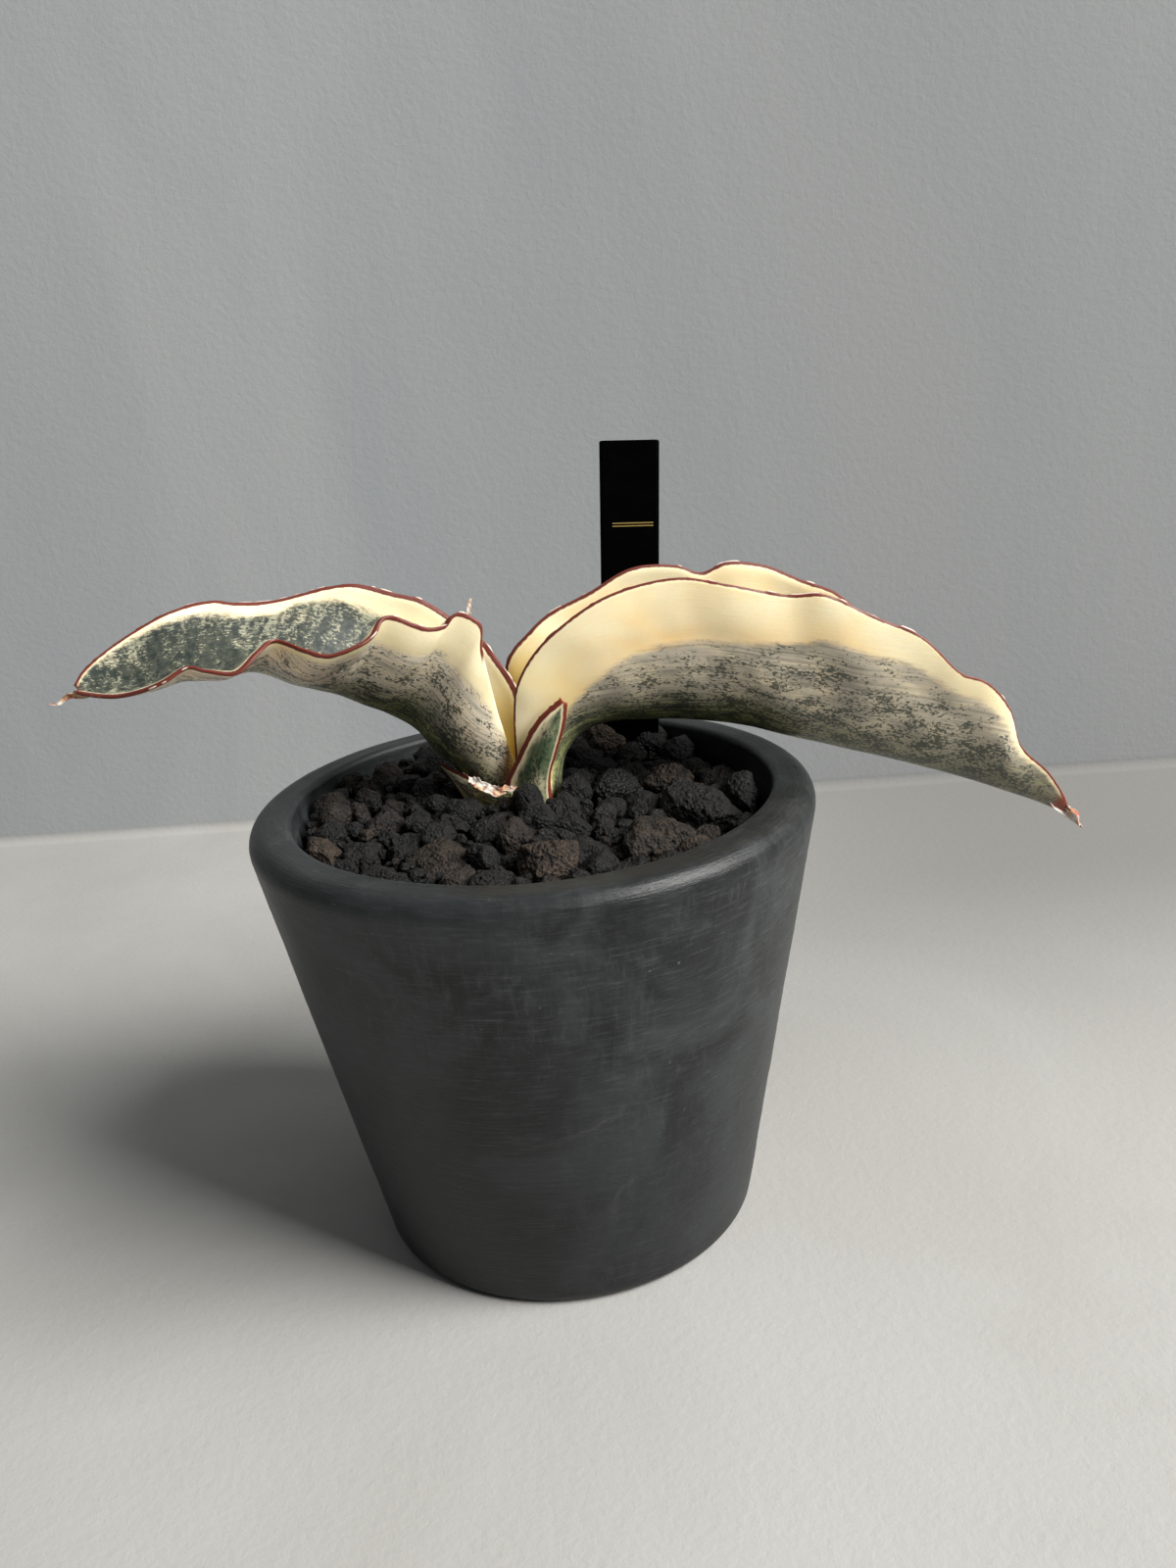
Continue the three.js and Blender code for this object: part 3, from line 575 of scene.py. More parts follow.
@dataclass(frozen=True)
class LeafSkin:
    """Variegated leaf skin: cream outer bands, speckled green middle and a red-brown horny edge."""

    name: str
    cream_base: Colour = (0.94, 0.76, 0.29)
    cream_middle: Colour = (0.96, 0.68, 0.33)
    cream_tip: Colour = (0.95, 0.76, 0.43)
    cream_light: Colour = (0.97, 0.84, 0.57)
    # deeper gold of the painted shade at the channel's foot
    cream_channel_shade: Colour = (0.72, 0.47, 0.05)
    pale: Colour = (0.50, 0.445, 0.345)
    dark: Colour = (0.040, 0.050, 0.034)
    deep: Colour = (0.014, 0.022, 0.019)
    inner_pale: Colour = (0.33, 0.33, 0.23)
    keel: Colour = (0.32, 0.35, 0.12)
    edge: Colour = (0.125, 0.022, 0.013)
    paper: Colour = (0.66, 0.55, 0.47)
    dry: Colour = (0.20, 0.045, 0.022)
    speckle: float = 0.0          # shift of the speckles' threshold: more dark where it is higher
    inner_speckle: float = 0.08   # the same on the face inside the channel
    keel_speckle: float = 0.075   # further shift at the keel
    under: Colour = (0.072, 0.064, 0.036)   # painted shade along the keel, brownish
    keel_shade_share: float = 0.75     # strength of the painted shade along the keel
    keel_share: float = 0.9       # strength of the green along the keel near the base
    edge_mm: float = 0.45         # width of the horny edge on the face
    dry_from: float = 0.965       # share of the length where the dried tip starts
    blend_mm: float = 1.4         # width of the passage from green to cream
    band_at: float = 0.645        # share of the length of the pale cross band in the channel

    def material(self) -> bpy.types.Material:
        """Zones by distance from the margin and the colour border, speckles stretched lengthwise."""
        g = Graph(self.name)
        along, inner, horn = g.value("along"), g.value("inner"), g.value("horn")
        edge_mm, cream_mm, keel_mm = g.value("edge_mm"), g.value("cream_mm"), g.value("keel_mm")
        skin = g.surface_map()
        cream = self.cream_zone(g, skin, along, edge_mm)
        deep = g.times(inner, g.step(along, 0.12, 0.30, 1.0, 0.0))   # painted shade: a deeper gold at the channel's foot
        cream = g.mix(deep, cream, self.cream_channel_shade)
        ragged = g.minus(g.noise(g.stretched(skin, (1.2, 3.2, 1.0)), 2.4, 3.0, 0.6), 0.5)
        border = g.plus(cream_mm, g.times(ragged, 2.6))
        green = self.green_zone(g, skin, inner, keel_mm, along)
        ground = g.mix(g.step(border, -self.blend_mm, 0.8), green, cream)
        speckle = self.speckles(g, skin, inner, border, keel_mm, along)
        tone = g.mix(speckle, ground, g.mix(inner, self.dark, self.deep))
        wander = g.times(g.noise(g.stretched(skin, (6.0, 0.0, 0.0)), 1.3, 3.0), 0.5)
        face_edge = g.plus(edge_mm, wander)
        width = self.edge_mm + 0.25
        rim = g.times(g.step(face_edge, width + 0.1, width + 0.9, 0.45, 0.0), horn)
        tone = g.mix(rim, tone, self.cream_light)
        line = g.times(g.step(face_edge, width - 0.12, width + 0.14, 1.0, 0.0), horn)
        tone = g.mix(line, tone, self.edge)
        tone = g.mix(g.step(edge_mm, -0.30, -0.16, 1.0, 0.0), tone, self.paper)
        tone = g.mix(g.step(along, self.dry_from, self.dry_from + 0.015), tone, self.dry)
        rough = g.step(g.noise(skin, 9.0, 3.0), 0.3, 0.7, 0.36, 0.50)
        rough = g.plus(rough, g.times(inner, 0.16))
        ridges = g.noise(g.stretched(skin, (0.5, 16.0, 1.0)), 2.6, 3.0, 0.6)
        relief = g.bump(ridges, 0.12, 0.35)
        relief = g.bump(g.noise(skin, 60.0, 2.0), 0.025, 0.5, relief)
        return g.finish(Base_Color=tone, Roughness=rough, Normal=relief, Subsurface_Weight=0.22,
                        Subsurface_Radius=(0.0035, 0.0022, 0.0008), Subsurface_Scale=1.0,
                        Specular_IOR_Level=0.42)

    def cream_zone(self, g: Graph, skin: Socket, along: Socket,
                   edge_mm: Socket) -> Socket:
        """Cream bands: yellow at the base, peach further out, paler towards the margin.

        Args:
            g: the material's graph.
            skin: the leaf's map.
            along: share of the leaf's length.
            edge_mm: distance from the margin.

        Returns:
            The zone's colour.
        """
        cream = g.ramp(along, [(0.0, self.cream_base), (0.16, self.cream_base), (0.30, self.cream_middle),
                               (0.62, self.cream_middle), (0.9, self.cream_tip)])
        broad = g.noise(skin, 0.55, 2.0, 0.5, 0.3)
        lightness = g.plus(g.step(edge_mm, 1.5, 13.0, 0.55, 0.0), g.step(broad, 0.40, 0.66, 0.0, 0.5))
        cream = g.mix(lightness, cream, self.cream_light)
        mottle = g.noise(g.stretched(skin, (1.0, 1.8, 1.0)), 9.0, 3.0, 0.6)
        cream = g.mix(g.step(mottle, 0.46, 0.72, 0.0, 0.30), cream, self.cream_middle)
        veins = g.noise(g.stretched(skin, (0.35, 9.0, 1.0)), 2.4, 3.0, 0.6)
        return g.mix(g.step(veins, 0.5, 0.8, 0.0, 0.18), cream, self.cream_tip)

    def green_zone(self, g: Graph, skin: Socket, inner: Socket,
                   keel_mm: Socket, along: Socket) -> Socket:
        """Ground of the middle zone: pale grey-green with long faint lines, greener at the keel's base,
        with painted shade along the keel.

        Args:
            g: the material's graph.
            skin: the leaf's map.
            inner: 1 on the face inside the channel, 0 outside.
            keel_mm: distance from the keel line.
            along: share of the leaf's length.

        Returns:
            The ground colour.
        """
        lines = g.noise(g.stretched(skin, (0.20, 8.5, 1.0)), 2.2, 2.0, 0.5)
        cloud = g.noise(g.stretched(skin, (1.0, 1.8, 1.0)), 1.1, 3.0, 0.55)
        mist = g.noise(g.stretched(skin, (1.6, 1.0, 1.0)), 3.4, 4.0, 0.62, 0.3)
        blue = g.mix(g.step(mist, 0.42, 0.62), self.inner_pale, self.deep)
        ground = g.mix(inner, self.pale, blue)
        bright = g.times(g.step(cloud, 0.45, 0.72, 0.0, 0.55), g.step(inner, 0.0, 1.0, 1.0, 0.3))
        ground = g.mix(bright, ground, self.cream_light)
        shade = g.plus(g.step(lines, 0.44, 0.66, 0.0, 0.38), g.step(cloud, 0.5, 0.3, 0.0, 0.22))
        ground = g.mix(shade, ground, g.mix(inner, self.dark, self.deep))
        outside = g.minus(1.0, inner)
        # painted shade: darker and browner along the keel on the outer face, more towards the tip
        under = g.times(g.step(keel_mm, 1.0, 15.0, self.keel_shade_share, 0.0), outside)
        under = g.times(under, g.step(along, 0.3, 0.6, 0.3, 1.0))
        ground = g.mix(under, ground, self.under)
        rib = g.plus(keel_mm, g.times(g.minus(lines, 0.5), 12.0))
        share = g.times(g.step(rib, 7.0, 17.0, self.keel_share, 0.0), g.step(along, 0.35, 0.7, 1.0, 0.2))
        share = g.times(share, outside)
        green = g.mix(g.step(lines, 0.44, 0.54), self.dark, self.keel)
        return g.mix(share, ground, green)

    def speckles(self, g: Graph, skin: Socket, inner: Socket,
                 border: Socket, keel_mm: Socket,
                 along: Socket) -> Socket:
        """Share of dark speckles: fine noise over a threshold that drifts, lower towards the keel.

        Args:
            g: the material's graph.
            skin: the leaf's map.
            inner: 1 on the face inside the channel, 0 outside.
            border: distance past the colour border.
            keel_mm: distance from the keel line.
            along: share of the leaf's length.

        Returns:
            Share from 0 to 1.
        """
        fine = g.noise(g.stretched(skin, (1.0, 1.7, 1.0)), 11.0, 3.0, 0.66, 0.35)
        drift = g.noise(g.stretched(skin, (1.0, 2.2, 1.0)), 1.7, 4.0, 0.6, 0.5)
        bands = g.noise(g.stretched(skin, (2.8, 0.8, 1.0)), 0.9, 4.0, 0.6, 0.4)
        spread = g.plus(g.times(drift, g.minus(1.0, inner)),
                        g.times(bands, inner))
        level = g.plus(fine, g.times(g.minus(spread, 0.5), 0.75))
        level = g.plus(level, g.step(keel_mm, 2.0, 24.0, self.keel_speckle, 0.0))
        level = g.plus(level, g.step(inner, 0.0, 1.0, self.speckle, self.inner_speckle))
        level = g.plus(level, g.step(border, -9.0, 1.0, 0.0, -0.09))
        cross = g.math("ABSOLUTE", g.minus(along, self.band_at))
        level = g.minus(level, g.times(g.step(cross, 0.0, 0.025, 0.16, 0.0), inner))
        share = g.step(level, 0.515, 0.590, 0.0, 0.88)
        return g.times(share, g.step(border, -1.6, 0.8, 1.0, 0.0))


@dataclass(frozen=True)
class DryTissue:
    """Papery dried leaf tissue: tan with red-brown streaks and bleached ends."""

    tan: Colour = (0.50, 0.34, 0.20)
    red: Colour = (0.33, 0.085, 0.035)
    bleached: Colour = (0.72, 0.66, 0.60)

    def material(self) -> bpy.types.Material:
        """Streaks along the fibres, bleached patches, and fibre relief."""
        g = Graph("dry_tissue")
        fibre = g.noise(g.place, 700.0, 4.0, 0.7, 1.2)
        patch = g.noise(g.place, 260.0, 3.0, 0.6)
        tone = g.mix(g.step(fibre, 0.42, 0.62), self.tan, self.red)
        tone = g.mix(g.step(patch, 0.42, 0.6), tone, self.bleached)
        relief = g.bump(fibre, 0.2, 0.7)
        return g.finish(Base_Color=tone, Roughness=g.step(patch, 0.3, 0.7, 0.6, 0.85), Normal=relief)


@dataclass(frozen=True)
class LabelPlastic:
    """Satin black plastic with two fine gold rules."""

    black: Colour = (0.0006, 0.0006, 0.0007)
    worn: Colour = (0.0012, 0.0012, 0.0013)
    gold: Colour = (0.30, 0.21, 0.07)
    rule_from: float = -0.40      # left end of the rules, centimetres across
    rule_to: float = 0.54         # their right end
    rule_down: float = 1.87       # middle of the pair, centimetres below the top
    rule_apart: float = 0.065     # centimetres from one rule's middle to the other's
    rule_width: float = 0.024     # centimetres

    def material(self) -> bpy.types.Material:
        """Two fine rules across the front by distance from their lines, and faint handling marks."""
        g = Graph("label_plastic")
        marks = g.noise(g.place, 350.0, 4.0, 0.6, 0.5)
        black = g.mix(g.step(marks, 0.5, 0.8), self.black, self.worn)
        split = g.axes(g.surface_map())
        middle, half = (self.rule_from + self.rule_to) / 2, (self.rule_to - self.rule_from) / 2
        from_middle = g.math("ABSOLUTE", g.minus(split["X"], middle))
        from_pair = g.math("ABSOLUTE", g.minus(split["Y"], self.rule_down))
        from_rule = g.math("ABSOLUTE", g.minus(from_pair, self.rule_apart / 2))
        foil = g.times(g.math("LESS_THAN", from_middle, half),
                      g.math("LESS_THAN", from_rule, self.rule_width / 2))
        foil = g.times(foil, g.minus(1.0, g.value("inner")))
        tone = g.mix(foil, black, self.gold)
        relief = g.bump(marks, 0.02, 0.4)
        return g.finish(Base_Color=tone, Roughness=g.step(marks, 0.3, 0.7, 0.30, 0.42), Normal=relief,
                        Specular_IOR_Level=0.025)


@dataclass(frozen=True)
class Granular:
    """Loose grains, fibre or moulded net: a plain two-tone surface with grain relief."""

    name: str
    low: Colour
    high: Colour
    grain_mm: float
    depth_mm: float
    rough: float = 0.9

    def material(self) -> bpy.types.Material:
        """Two tones by cloudy noise and grains by nearest-centre distance."""
        g = Graph(self.name)
        scale = 1.0 / (self.grain_mm * MM)
        grains = g.cells(g.place, scale)
        cloud = g.noise(g.place, scale * 0.4, 4.0, 0.6)
        tone = g.mix(g.step(cloud, 0.3, 0.7), self.low, self.high)
        tone = g.mix(g.step(grains, 0.1, 0.6, 0.0, 0.6), tone, self.low)
        relief = g.bump(grains, self.depth_mm, 0.9)
        return g.finish(Base_Color=tone, Roughness=self.rough, Normal=relief)


# ------------------------------------------------------------------ shared shapes

def sheet_solid(top: Array, bottom: Array, values: dict[str, tuple[Array, Array]] | None = None,
                uv: Array | None = None) -> Surface:
    """Closed solid between two grids of points with the same layout, joined round their rims.

    Args:
        top: grid of points, shape (rows, columns, 3).
        bottom: the grid under it.
        values: named pairs of grids, for the top and the bottom.
        uv: map for both grids, shape (rows, columns, 2).

    Returns:
        The solid, with its faces outward.
    """
    rows, columns = top.shape[:2]

    def loop(a: Array, b: Array) -> Array:
        """Each row of the top followed by the same row of the bottom, reversed."""
        return np.concatenate([a, b[:, ::-1]], axis=1)

    j = np.arange(columns - 1)
    cap = np.stack([j + 1, j, 2 * columns - 1 - j, 2 * columns - 2 - j], axis=1)
    last = (rows - 1) * 2 * columns
    faces = np.vstack([quads(rows, 2 * columns, wrap=True), cap, cap[:, ::-1] + last])
    named = {key: loop(a, b).ravel() for key, (a, b) in (values or {}).items()}
    flat = None if uv is None else loop(uv, uv).reshape(-1, 2)
    return Surface(loop(top, bottom).reshape(-1, 3), faces, named, flat).facing_out()


def globe(rows: int, columns: int) -> tuple[Array, Array]:
    """Unit directions over a ball by latitude and longitude, with one point at each pole.

    Args:
        rows: steps from pole to pole.
        columns: steps round the ball.

    Returns:
        The directions, and quads between them, where a corner is repeated at a pole.
    """
    lat = np.linspace(0, math.pi, rows + 1)[1:-1, None]
    lon = np.linspace(0, 2 * math.pi, columns, endpoint=False)[None]
    ring = np.stack([np.sin(lat) * np.cos(lon), np.sin(lat) * np.sin(lon), np.cos(lat) + 0 * lon], axis=-1)
    points = np.vstack([[[0, 0, 1]], ring.reshape(-1, 3), [[0, 0, -1]]])
    return points, poled_quads(rows - 1, columns)


def node_points(name: str) -> Array:
    """Corner points of a CAD node in millimetres, each once."""
    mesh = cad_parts[name].data
    flat = np.zeros(3 * len(mesh.vertices), dtype=np.float32)
    mesh.vertices.foreach_get("co", flat)
    return np.unique(np.round(flat.reshape(-1, 3) / MM, 3), axis=0).astype(float)


def node_flats(name: str, centre: Array) -> tuple[Array, Array]:
    """Unit normals of a CAD node's faces, and how far each face lies from a point in millimetres."""
    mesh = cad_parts[name].data
    normals = np.zeros(3 * len(mesh.polygons), dtype=np.float32)
    middles = np.zeros_like(normals)
    mesh.polygons.foreach_get("normal", normals)
    mesh.polygons.foreach_get("center", middles)
    normals = normals.reshape(-1, 3).astype(float)
    return normals, ((middles.reshape(-1, 3) / MM - centre) * normals).sum(axis=1)


def turns(count: int, rng: np.random.Generator) -> Array:
    """Random turning matrices, made from random unit quaternions."""
    w, x, y, z = unit(rng.normal(size=(count, 4))).T
    rows = [[1 - 2 * (y * y + z * z), 2 * (x * y - z * w), 2 * (x * z + y * w)],
            [2 * (x * y + z * w), 1 - 2 * (x * x + z * z), 2 * (y * z - x * w)],
            [2 * (x * z - y * w), 2 * (y * z + x * w), 1 - 2 * (x * x + y * y)]]
    return np.moveaxis(np.array(rows), -1, 0)


# ------------------------------------------------------------------ leaves

class Hand(Enum):
    """Side of the plant that a leaf arches to, which sets the way that its channel faces."""

    RIGHT = 1
    LEFT = -1


GAP = 0.3
LEAF_BURIED = 6.0
WALL_CLEARANCE = 1.4   # room between the loose grains and the pot's wall
CROWN_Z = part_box("rhizome_and_roots")[1][2] / MM + GAP + LEAF_BURIED   # top of the mix at the leaves


@dataclass
class Leaf:
    """A channelled leaf: keel and two margins as curves, with heights counted from the mix's crown."""

    name: str
    hand: Hand
    keel: Points
    front: Points
    rear: Points
    floor: Pairs
    belly: Pairs
    keel_thickness: Pairs
    front_border: Pairs
    rear_border: Pairs
    inside_rear: Pairs = ()       # the rear border on the inner face, where it differs
    margin: float = 1.0           # thickness near the margin
    front_paper: Pairs = ((0.0, 1.0), (1.0, 1.0))   # share of the front margin's horny edge
    front_folds: Pairs = ((0.0, 0.0), (1.0, 0.0))   # height of the folds towards the front margin
    rear_folds: Pairs = ((0.0, 0.0), (1.0, 0.0))    # the same towards the rear margin
    rows: int = 260
    columns: int = 96
    ripple: float = 0.35          # height of the small waves of the faces
    ripple_length: float = 9.0
    edge_round: float = 1.6       # distance from the margin over which the blade thins
    flange: float = 0.32          # greatest reach of the papery flange
    seed: int = 3

    def shares(self) -> tuple[Array, Array]:
        """Grids of u, from base to tip, and v, from -1 at the front margin to 1 at the rear one."""
        u = np.linspace(0, 1, self.rows + 1)
        return np.meshgrid(u, np.linspace(-1, 1, self.columns + 1), indexing="ij")

    def face(self) -> Array:
        """Outer face: each half section is a cubic curve from the keel, out by floor, to the margin.

        Returns:
            Grid of points, shape (rows + 1, columns + 1, 3).
        """
        u, v = self.shares()
        lines = (self.keel, self.front, self.rear)
        keel, front, rear = (resample(line, self.rows)[:, None] for line in lines)
        along = unit(np.gradient(keel, axis=0))
        side = front - rear
        side = unit(side - (side * along).sum(-1, keepdims=True) * along)
        sign = np.where(v < 0, 1.0, -1.0)[..., None]
        margin = np.where(v[..., None] < 0, front, rear)
        t = np.abs(v)[..., None]
        near = keel + side * sign * table(self.floor, u)[..., None]
        far = 0.55 * margin + 0.45 * near + side * sign * table(self.belly, u)[..., None]
        curve = (1 - t) ** 3 * keel + 3 * (1 - t) ** 2 * t * near
        curve = curve + 3 * (1 - t) * t ** 2 * far + t ** 3 * margin
        return curve + np.array([0.0, 0.0, CROWN_Z])

    def surface(self) -> Surface:
        """The leaf with ripples, folds between keel and margins, a rounded margin and a papery flange.

        A fold is a height from its table times a hump that is highest at 0.72 of the way to the margin.

        Returns:
            The closed surface, with distances from keel, margin and colour border at each point.
        """
        u, v = self.shares()
        outer = self.face()
        facing = unit(np.cross(np.gradient(outer, axis=0), np.gradient(outer, axis=1))) * self.hand.value
        wave = layered_noise(outer / self.ripple_length, self.seed, 2) * (0.25 + 0.75 * v ** 2)
        calm = np.clip((1 - u) / 0.1, 0, 1)
        across = np.abs(v)
        hump = np.clip((across - 0.3) / 0.42, 0, 1) ** 2 * np.clip((1 - across) / 0.26, 0, 1) ** 0.8
        folds = np.where(v < 0, smooth_table(self.front_folds, u), smooth_table(self.rear_folds, u)) * hump
        outer = outer + facing * (self.ripple * wave * calm + folds)[..., None]
        steps = np.linalg.norm(np.diff(outer, axis=1), axis=-1)
        reach = np.concatenate([np.zeros((self.rows + 1, 1)), np.cumsum(steps, axis=1)], axis=1)
        signed = reach - reach[:, self.columns // 2, None]
        keel_mm = np.abs(signed)
        half = np.where(v < 0, keel_mm[:, :1], keel_mm[:, -1:])
        edge_mm = half - keel_mm
        border = np.where(v < 0, table(self.front_border, u), table(self.rear_border, u))
        inside = np.where(v < 0, border, table(self.inside_rear or self.rear_border, u))
        thick = self.margin + (table(self.keel_thickness, u) - self.margin) * (1 - np.abs(v) ** 1.5)
        thick = thick * (0.55 + 0.45 * np.clip(edge_mm / self.edge_round, 0, 1) ** 0.5)
        inner = outer + facing * thick[..., None]
        long = 0.8 * np.linalg.norm(np.diff(outer[:, 0], axis=0), axis=-1).sum()
        horn = np.where(v < 0, table(self.front_paper, u), 1.0)
        grids = {"along": u, "horn": horn, "edge_mm": edge_mm, "keel_mm": keel_mm,
                 "cream_mm": keel_mm - border * half, "cream_inside": keel_mm - inside * half}
        return self.with_flange(outer, inner, grids, np.stack([u * long, signed], axis=-1) / 10)

    def with_flange(self, outer: Array, inner: Array, grids: dict[str, Array], uv: Array) -> Surface:
        """Add one column past each margin: a flange that tapers to paper, longer where the noise is high.

        Args:
            outer: grid of the outer face.
            inner: grid of the inner face.
            grids: named values over the grid.
            uv: the map over the grid.

        Returns:
            The closed surface.
        """
        u = grids["along"][:, 0]
        place = np.stack([u * 190 / 3.0, 0 * u, 0 * u], axis=-1)
        tops, bottoms, lengths = [], [], []
        for side, step in ((0, 2), (-1, -3)):
            ragged = layered_noise(place + 50.0 * (side + 2), self.seed + 5, 3)
            paper = table(self.front_paper, u) if side == 0 else np.ones_like(u)
            length = (0.06 + self.flange * np.clip(2.2 * ragged - 0.35, 0, 1)) * paper + 0.03
            away = unit(outer[:, side] - outer[:, step])
            middle = (outer[:, side] + inner[:, side]) / 2 + away * length[:, None]
            half = 0.16 * (outer[:, side] - inner[:, side])
            tops.append((middle + half)[:, None])
            bottoms.append((middle - half)[:, None])
            lengths.append(-length[:, None])
        grids = {key: np.concatenate([grid[:, :1], grid, grid[:, -1:]], axis=1)
                 for key, grid in grids.items()}
        grids["edge_mm"] = np.concatenate([lengths[0], grids["edge_mm"][:, 1:-1], lengths[1]], axis=1)
        uv = np.concatenate([uv[:, :1], uv, uv[:, -1:]], axis=1)
        values = {key: (grid, grid) for key, grid in grids.items() if key != "cream_inside"}
        values["cream_mm"] = (grids["cream_mm"], grids["cream_inside"])
        values["inner"] = (0 * grids["along"], 0 * grids["along"] + 1)
        top = np.concatenate([tops[0], outer, tops[1]], axis=1)
        bottom = np.concatenate([bottoms[0], inner, bottoms[1]], axis=1)
        return sheet_solid(top, bottom, values, uv)

    def build(self, material: bpy.types.Material) -> Surface:
        """Make the piece and hand back its surface."""
        made = self.surface()
        settle(made.object(self.name + "_skin", material), "variegated_leaf", self.name)
        return made


@dataclass
class Strip:
    """A strip of dried tissue: a cupped section carried along a path and turned about it."""

    path: Points
    width: Pairs
    turn: Pairs = ((0.0, 0.0), (1.0, 0.0))
    thickness: float = 0.3
    cup: float = 0.2
    rough: float = 0.2
    rows: int = 48
    columns: int = 12
    seed: int = 11

    def surface(self) -> Surface:
        """The strip: across by width, lifted at its edges by cup, with a ragged noise on it.

        Returns:
            The closed surface.
        """
        line = resample(self.path, self.rows)
        u = np.linspace(0, 1, self.rows + 1)
        forward = unit(np.gradient(line, axis=0))
        level = np.array([0.0, 1.0, 0.0]) - forward * forward[:, 1:2]
        level = unit(level)
        lift = np.cross(forward, level)
        angle = np.radians(table(self.turn, u))[:, None]
        side = np.cos(angle) * level + np.sin(angle) * lift
        up = np.cos(angle) * lift - np.sin(angle) * level
        v = np.linspace(-1, 1, self.columns + 1)[None, :, None]
        half = table(self.width, u)[:, None, None] / 2
        middle = line[:, None] + side[:, None] * half * v + up[:, None] * (2 * self.cup * half * v ** 2)
        middle = middle + self.rough * np.stack(
            [layered_noise(middle / 1.3, self.seed + k, 2) for k in range(3)], axis=-1)
        thick = self.thickness / 2 * (1 - 0.7 * v ** 2) * np.minimum(1, half / 0.4 + 0.15)
        raised = up[:, None] * thick
        return sheet_solid(middle + raised, middle - raised)


# ------------------------------------------------------------------ pot and label

@dataclass
class Pot:
    """Tapered clay pot, turned, with a brushed surface and drain holes."""

    height: float = 100.0
    rim_radius: float = 60.0
    foot_radius: float = 43.0
    mouth_radius: float = 51.0
    floor: float = 8.0
    wall_at_floor: float = 7.0
    shoulder: float = 4.0
    lip: float = 1.5
    foot_round: float = 3.0
    floor_round: float = 4.0
    drain_ring: float = 22.0
    drain_radius: float = 5.0
    drain_count: int = 4
    columns: int = 288
    ring_step: float = 1.4        # greatest distance between two rings of points
    arc_points: int = 9
    lean: float = -8.0            # direction in degrees that the wall faces
    inner_lean: float = 0.6       # how far the inside wall has moved out at the top of the floor's round
    dent: float = 0.22
    dent_length: float = 26.0
    ridge: float = 0.07
    ridge_length: float = 40.0
    ridge_pitch: float = 1.7

    def profile(self) -> Array:
        """Outline from the underside's centre, up the outside, over the rim and down to the floor.

        Returns:
            Points of (radius, height), shape (count, 2).
        """
        share = self.floor / self.height
        inner = self.foot_radius + (self.rim_radius - self.foot_radius) * share - self.wall_at_floor

        def arc(centre: tuple[float, float], radius: float, start: float, end: float) -> Array:
            """Round stretch about a centre, from one direction in degrees to another."""
            t = np.radians(np.linspace(start, end, self.arc_points))
            return np.stack([centre[0] + radius * np.cos(t), centre[1] + radius * np.sin(t)], axis=1)

        corners = np.vstack([
            [[0.0, 0.0]],
            arc((self.foot_radius - self.foot_round, self.foot_round), self.foot_round, -90, self.lean),
            arc((self.rim_radius - self.shoulder, self.height - self.shoulder),
                self.shoulder, self.lean, 90),
            arc((self.mouth_radius + self.lip, self.height - self.lip), self.lip, 90, 180),
            arc((inner - self.floor_round + self.inner_lean, self.floor + self.floor_round),
                self.floor_round, 0, -90),
            [[0.0, self.floor]],
        ])
        length = walked(corners)
        even = np.union1d(length, np.arange(0, length[-1], self.ring_step))
        return np.stack([np.interp(even, length, corners[:, k]) for k in range(2)], axis=1)

    def surface(self) -> Surface:
        """The profile turned about Z, with slow dents and fine ridges that run round it.

        Returns:
            The closed surface, with the length along the profile at each point.
        """
        profile = self.profile()
        ring = walked(profile)
        inside = profile[1:-1]
        angle = np.linspace(0, 2 * math.pi, self.columns, endpoint=False)
        radius, level = inside[:, :1], inside[:, 1:]
        spot = np.stack(np.broadcast_arrays(radius * np.cos(angle), radius * np.sin(angle), level), axis=-1)
        dents = self.dent * layered_noise(spot / self.dent_length, 41, 2)
        round_it = spot * np.array([1 / self.ridge_length, 1 / self.ridge_length, 0])
        round_it = round_it + ring[1:-1, None, None] * np.array([0, 0, 1 / self.ridge_pitch])
        ridges = self.ridge * layered_noise(round_it, 43, 2)
        slope = unit(np.gradient(inside, axis=0))
        outward = np.stack(np.broadcast_arrays(
            slope[:, 1:] * np.cos(angle), slope[:, 1:] * np.sin(angle), -slope[:, :1]), axis=-1)
        fade = np.clip((radius - 8) / 20, 0, 1) * np.clip(level / 6, 0, 1)   # none at the middle or foot
        body = (spot + outward * ((dents + ridges) * fade)[..., None]).reshape(-1, 3)
        points = np.vstack([[[0, 0, 0]], body, [[0, 0, self.floor]]])
        faces = poled_quads(len(inside), self.columns)
        lengths = np.concatenate([[0], np.repeat(ring[1:-1], self.columns), [ring[-1]]]) * MM
        return Surface(points, faces, {"ring": lengths}).facing_out()

    def build(self, material: bpy.types.Material) -> None:
        """Make the pot, drill the drain holes and settle it."""
        piece = self.surface().object("pot_turned", material)
        for index in range(self.drain_count):
            angle = 2 * math.pi * (index + 0.5) / self.drain_count
            place = (self.drain_ring * math.cos(angle) * MM, self.drain_ring * math.sin(angle) * MM, 0.0)
            bpy.ops.mesh.primitive_cylinder_add(vertices=48, radius=self.drain_radius * MM,
                                                depth=4 * self.floor * MM, location=place)
            drill = bpy.context.object
            cut = piece.modifiers.new("drain", "BOOLEAN")
            cut.operation, cut.solver, cut.object = "DIFFERENCE", "EXACT", drill
            bpy.context.view_layer.objects.active = piece
            bpy.ops.object.modifier_apply(modifier=cut.name)
            bpy.data.objects.remove(drill, do_unlink=True)
        settle(piece, "clay", "pot")


